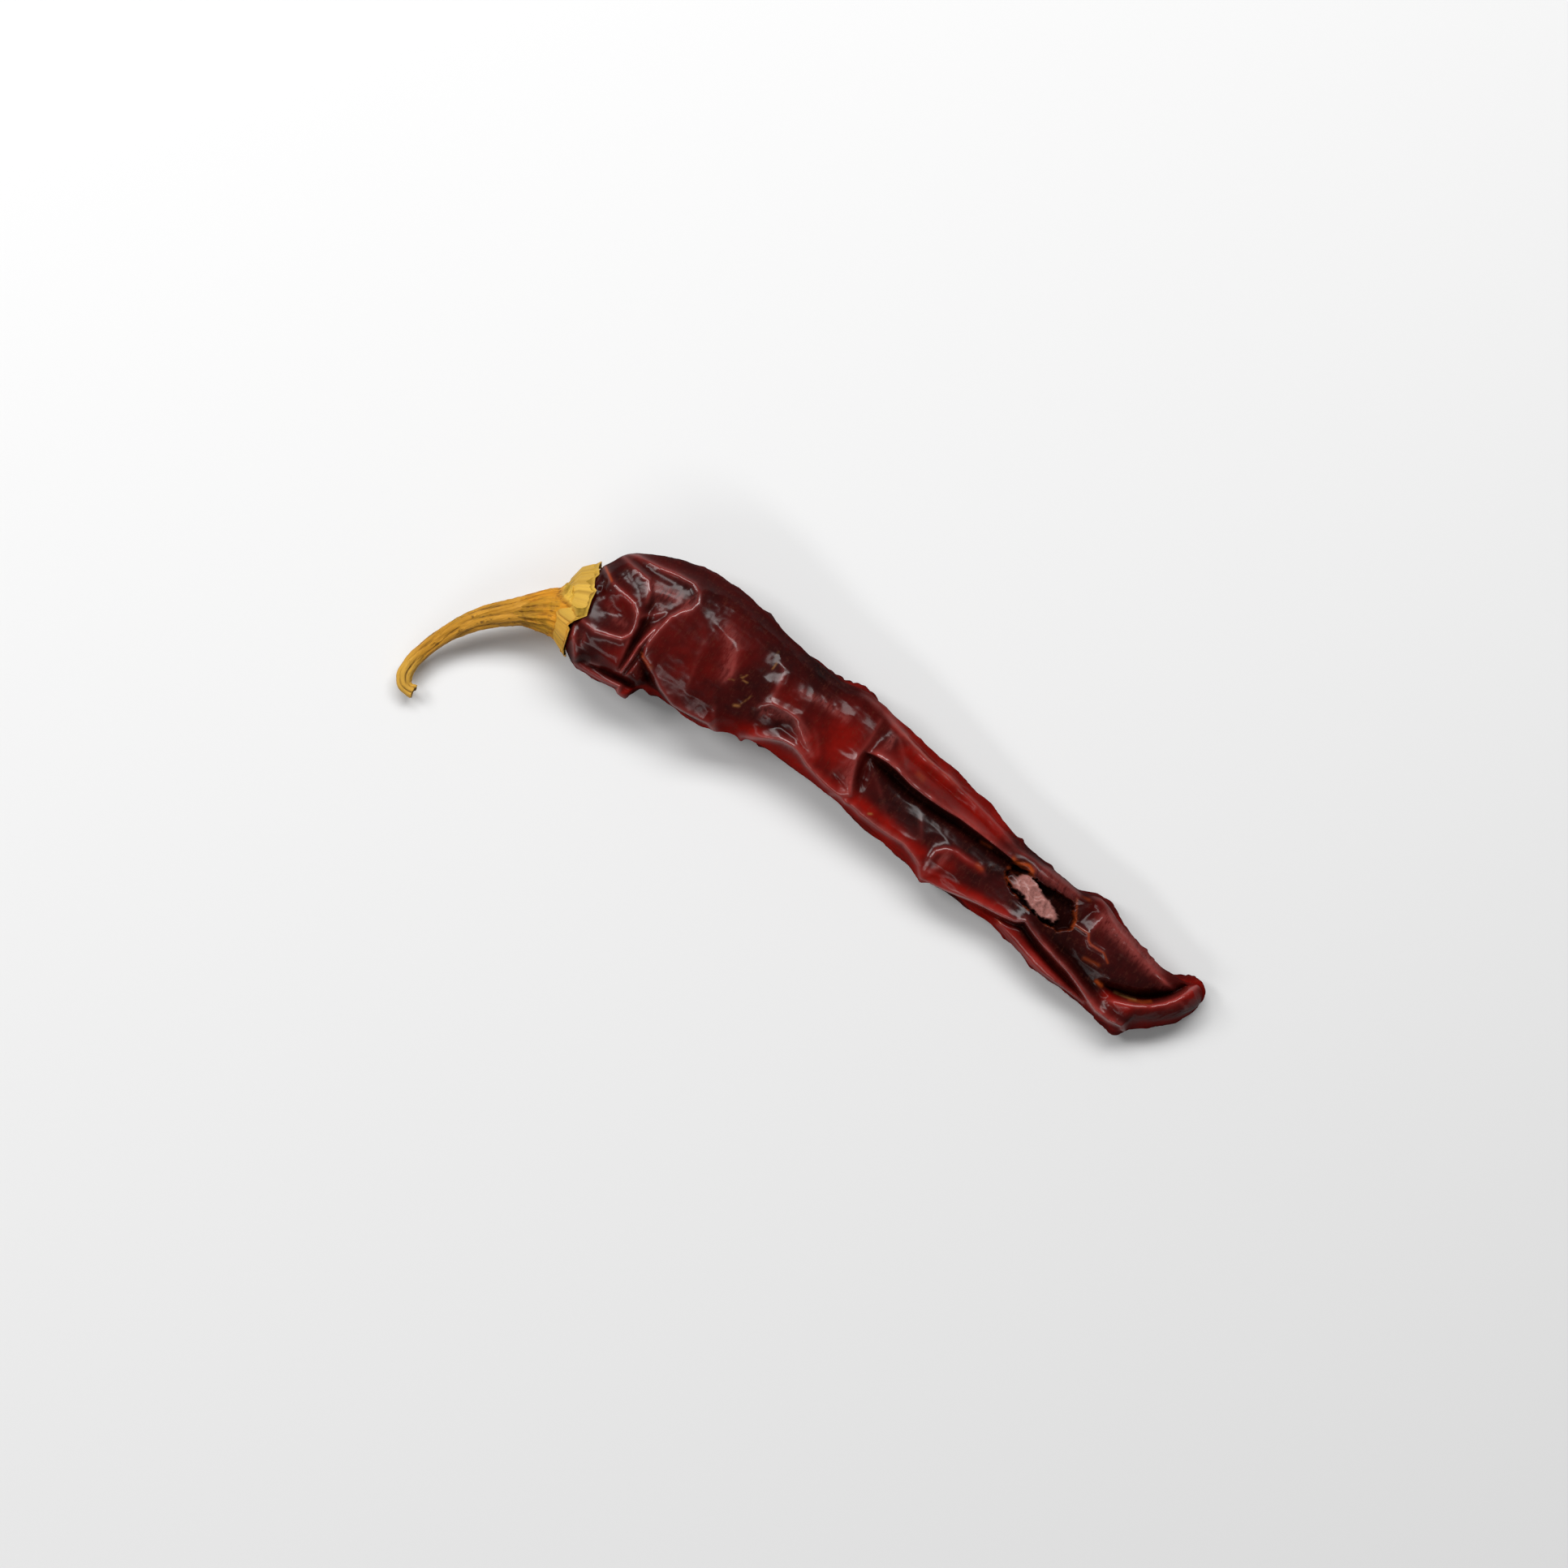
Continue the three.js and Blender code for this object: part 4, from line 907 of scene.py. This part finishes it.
def pod_finish(group):
    """Dried chilli skin: near-black maroon that turns blood red where it is thin and orange at torn edges,
    with a fine crosswise grain, pores and scars. Painted highlights lie along the crests, on proud folds
    and on the torn flake's paler inner skin; painted shade darkens the hollows, and the ridges are redder,
    partly thin skin and partly painted light. Its gloss is a clear coat, strongest on crests and where the
    skin faces up."""
    material, tree, shader = new_finish("dried_chilli_skin")
    spot = add(tree, "ShaderNodeTexCoord").outputs["Object"]
    in_mm = stretched(spot, (1000, 1000, 1000))
    crosswise = stretched(spot, (2600, 700, 900))
    blotches, blotch_height = grain(group, in_mm, 0.16, 0.7, 0.35)
    cross, cross_height = grain(group, crosswise, 0.8, 2.6, 0.5)
    pores, pore_height = grain(group, in_mm, 2.2, 7.0, 0.7)
    crest, hollow_shade, scar = (painted(tree, name) for name in ("crest", "hollow_shade", "scar"))

    def patchy(name, grained, low, high, faint, full):
        """A painted mark that a grain weakens: a mask from low to high scales it from faint to full."""
        return times(painted(tree, name), ranged(grained, low, high, faint, full), True)

    colour = layered(mixed(blotches, NEAR_BLACK, MAROON), (
        (patchy("thin", blotches, 0.1, 0.8, 0.55, 1.0), RED),
        # redder ridges, partly thin skin and partly painted light
        (times(painted(tree, "ridge"), 0.22), RED),
        # painted highlight along the crests
        (patchy("crest", blotches, 0.15, 0.85, 0.3, 0.75), PAINTED_CREST_HIGHLIGHT),
        # painted sheen on the proud folds, standing in for highlights
        (patchy("painted_sheen", cross, 0.25, 0.75, 0.15, 0.85), PAINTED_SHEEN_GREY),
        # painted shade in the hollows
        (times(hollow_shade, 0.8), PAINTED_SHADE_BLACK),
        (patchy("lip", pores, 0.1, 0.7, 0.4, 1.0), ORANGE),
        # the flake: paler inner skin with a painted highlight
        (patchy("flake", pores, 0.15, 0.75, 0.35, 0.95), INNER_SKIN_AND_HIGHLIGHT),
        (ranged(times(pores, cross), 0.62, 0.8, 0.0, 0.2), FRECKLE),
        (scar, SCAR_TAN),
    ))
    rough = plus(ranged(cross, 0.0, 1.0, 0.28, 0.36), times(scar, 0.3))
    coat = times(painted(tree, "gloss"), ranged(blotches, 0.0, 1.0, 0.42, 0.24))
    height = plus(cross_height, times(pore_height, 0.4))
    height = plus(height, times(blotch_height, 1.5))
    give(shader, {
        "Base Color": colour,
        "Roughness": plus(rough, times(hollow_shade, 0.4), True),
        "Specular IOR Level": 0.0,
        "Coat Roughness": 0.22,
        "Coat Weight": plus(coat, times(crest, 0.75), True),
        "Normal": bumped(height, 0.3, 0.00007),
    })
    return material


def plant_finish(name, group, pale, deep, streak):
    """Dry plant fibre for the stem and the calyx: lengthwise streaks of two colours, painted shade broken
    into flecks in the grooves and hollows, with a darker tint at the calyx's neck, a greenish papery colour
    where marked, and a pale worn edge."""
    material, tree, shader = new_finish(name)
    fibre = painted(tree, "fibre", "Vector")
    streaks, streak_height = grain(group, stretched(fibre, (1.6, 1.6, 0.16)), 1.2, 4.5, 0.5)
    blotches, blotch_height = grain(group, fibre, 0.35, 1.3, 0.4)
    broad, _ = grain(group, stretched(fibre, (1.0, 1.0, 0.5)), 0.22, 0.8, 0.3)
    speck = ranged(times(streaks, blotches), 0.42, 0.66, 0.0, 0.75)
    # painted shade in grooves and hollows, broken into flecks, with the calyx's darker neck tint
    shade_and_tint_flecks = times(painted(tree, "groove_shade_and_tint"), ranged(streaks, 0.8, 0.3, 0.25, 1.0), True)
    paper = mixed(ranged(blotches, 0.2, 0.75), PAPER_DARK, PAPER_PALE)
    paper = layered(paper, (
        (ranged(streaks, 0.55, 0.9, 0.0, 0.5), PAPER_STREAK),
        (ranged(broad, 0.4, 0.7, 0.0, 0.5), PAPER_GREEN),
    ))
    colour = layered(mixed(streaks, deep, pale), (
        (ranged(blotches, 0.25, 0.8, 0.0, 0.45), STRAW),
        (ranged(broad, 0.45, 0.75, 0.0, 0.6), OLIVE),
        (speck, streak),
        (painted(tree, "papery"), paper),
        (times(painted(tree, "edge"), 0.55), WORN_STRAW),
        (shade_and_tint_flecks, streak),
    ))
    height = plus(streak_height, times(blotch_height, 0.6))
    give(shader, {
        "Base Color": colour,
        "Roughness": ranged(streaks, 0, 1, 0.7, 0.5),
        "Specular IOR Level": 0.14,
        "Normal": bumped(height, 0.8, 0.0002),
    })
    return material


# ---- table, light and camera

VIEW_CENTRE = (40.8, -5.05, 5.0)  # where the camera looks straight down, in the drawing
VIEW_WIDTH = 241.5 * MM  # of the picture, at the pepper's height
VIEW_TURN = math.radians(34)  # the pepper's axis runs down to the right by this much
LENS = 100.0
SENSOR = 36.0
TABLE_HALF = 3.0
TABLE_GREY = (0.64, 0.64, 0.64, 1)
WORLD_STRENGTH = 0.15
LIGHT_DISTANCE = 0.8
# The soft boxes: azimuth from the picture's right, elevation, width, height and watts.
SOFT_LIGHTS = {
    "key_strip": (82, 54, 0.8, 0.24, 7.2),
    "low_strip": (228, 38, 0.7, 0.1, 1.7),
    "side_box": (151, 45, 0.28, 0.28, 2.6),
}


def make_table():
    """A plain pale table top, level with the pepper's lowest point."""
    h = TABLE_HALF
    mesh = bpy.data.meshes.new("table")
    mesh.from_pydata([(-h, -h, 0), (h, -h, 0), (h, h, 0), (-h, h, 0)], [], [(0, 1, 2, 3)])
    material, _, shader = new_finish("pale_table")
    give(shader, {"Base Color": TABLE_GREY, "Roughness": 0.9, "Specular IOR Level": 0.1})
    mesh.materials.append(material)
    in_scene("table", mesh)


def soft_light(name, azimuth, elevation, width, height, watts):
    """A soft box that faces the pepper: azimuth counts from the picture's right, anticlockwise."""
    data = bpy.data.lights.new(name, "AREA")
    data.shape = "RECTANGLE"
    data.size, data.size_y = width, height
    data.energy = watts
    light = in_scene(name, data)
    turn = math.radians(azimuth) + VIEW_TURN
    lift = math.radians(elevation)
    away = np.array([math.cos(turn) * math.cos(lift), math.sin(turn) * math.cos(lift), math.sin(lift)])
    light.location = placed(VIEW_CENTRE) + away * LIGHT_DISTANCE
    light.rotation_mode = "QUATERNION"
    light.rotation_quaternion = Vector(away).to_track_quat("Z", "Y")


def make_light():
    """The soft boxes and an even, dim white world, shown as they are."""
    for name, numbers in SOFT_LIGHTS.items():
        soft_light(name, *numbers)
    world = bpy.data.worlds.new("studio")
    world.use_nodes = True
    background = world.node_tree.nodes["Background"]
    give(background, {"Color": (1, 1, 1, 1), "Strength": WORLD_STRENGTH})
    scene = bpy.context.scene
    scene.world = world
    scene.view_settings.view_transform = "Standard"


def make_camera():
    """The camera looks straight down, turned so that the pepper's axis runs down to the right."""
    data = bpy.data.cameras.new("camera")
    data.lens, data.sensor_width = LENS, SENSOR
    camera = in_scene("camera", data)
    camera.location = placed(VIEW_CENTRE) + np.array([0, 0, VIEW_WIDTH * LENS / SENSOR])
    camera.rotation_euler = (0, 0, VIEW_TURN)
    bpy.context.scene.camera = camera


# ---- assembly

make_camera()
make_table()
make_light()
skin_grain = grain_group()
PIECES = [
    (build_pod, "pod", "pod_skin", pod_finish(skin_grain)),
    (build_calyx, "calyx", "calyx", plant_finish(
        "dry_calyx", skin_grain, (0.56, 0.235, 0.013, 1), (0.33, 0.12, 0.005, 1), (0.1, 0.036, 0.004, 1),
    )),
    (build_stem, "stem", "stem", plant_finish(
        "dry_stem", skin_grain, (0.50, 0.24, 0.026, 1), (0.24, 0.1, 0.006, 1), (0.05, 0.02, 0.004, 1),
    )),
]
for build, node, slot, finish in PIECES:
    piece = build()
    piece.data.materials.append(finish)
    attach(piece, "root")
    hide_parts(node)
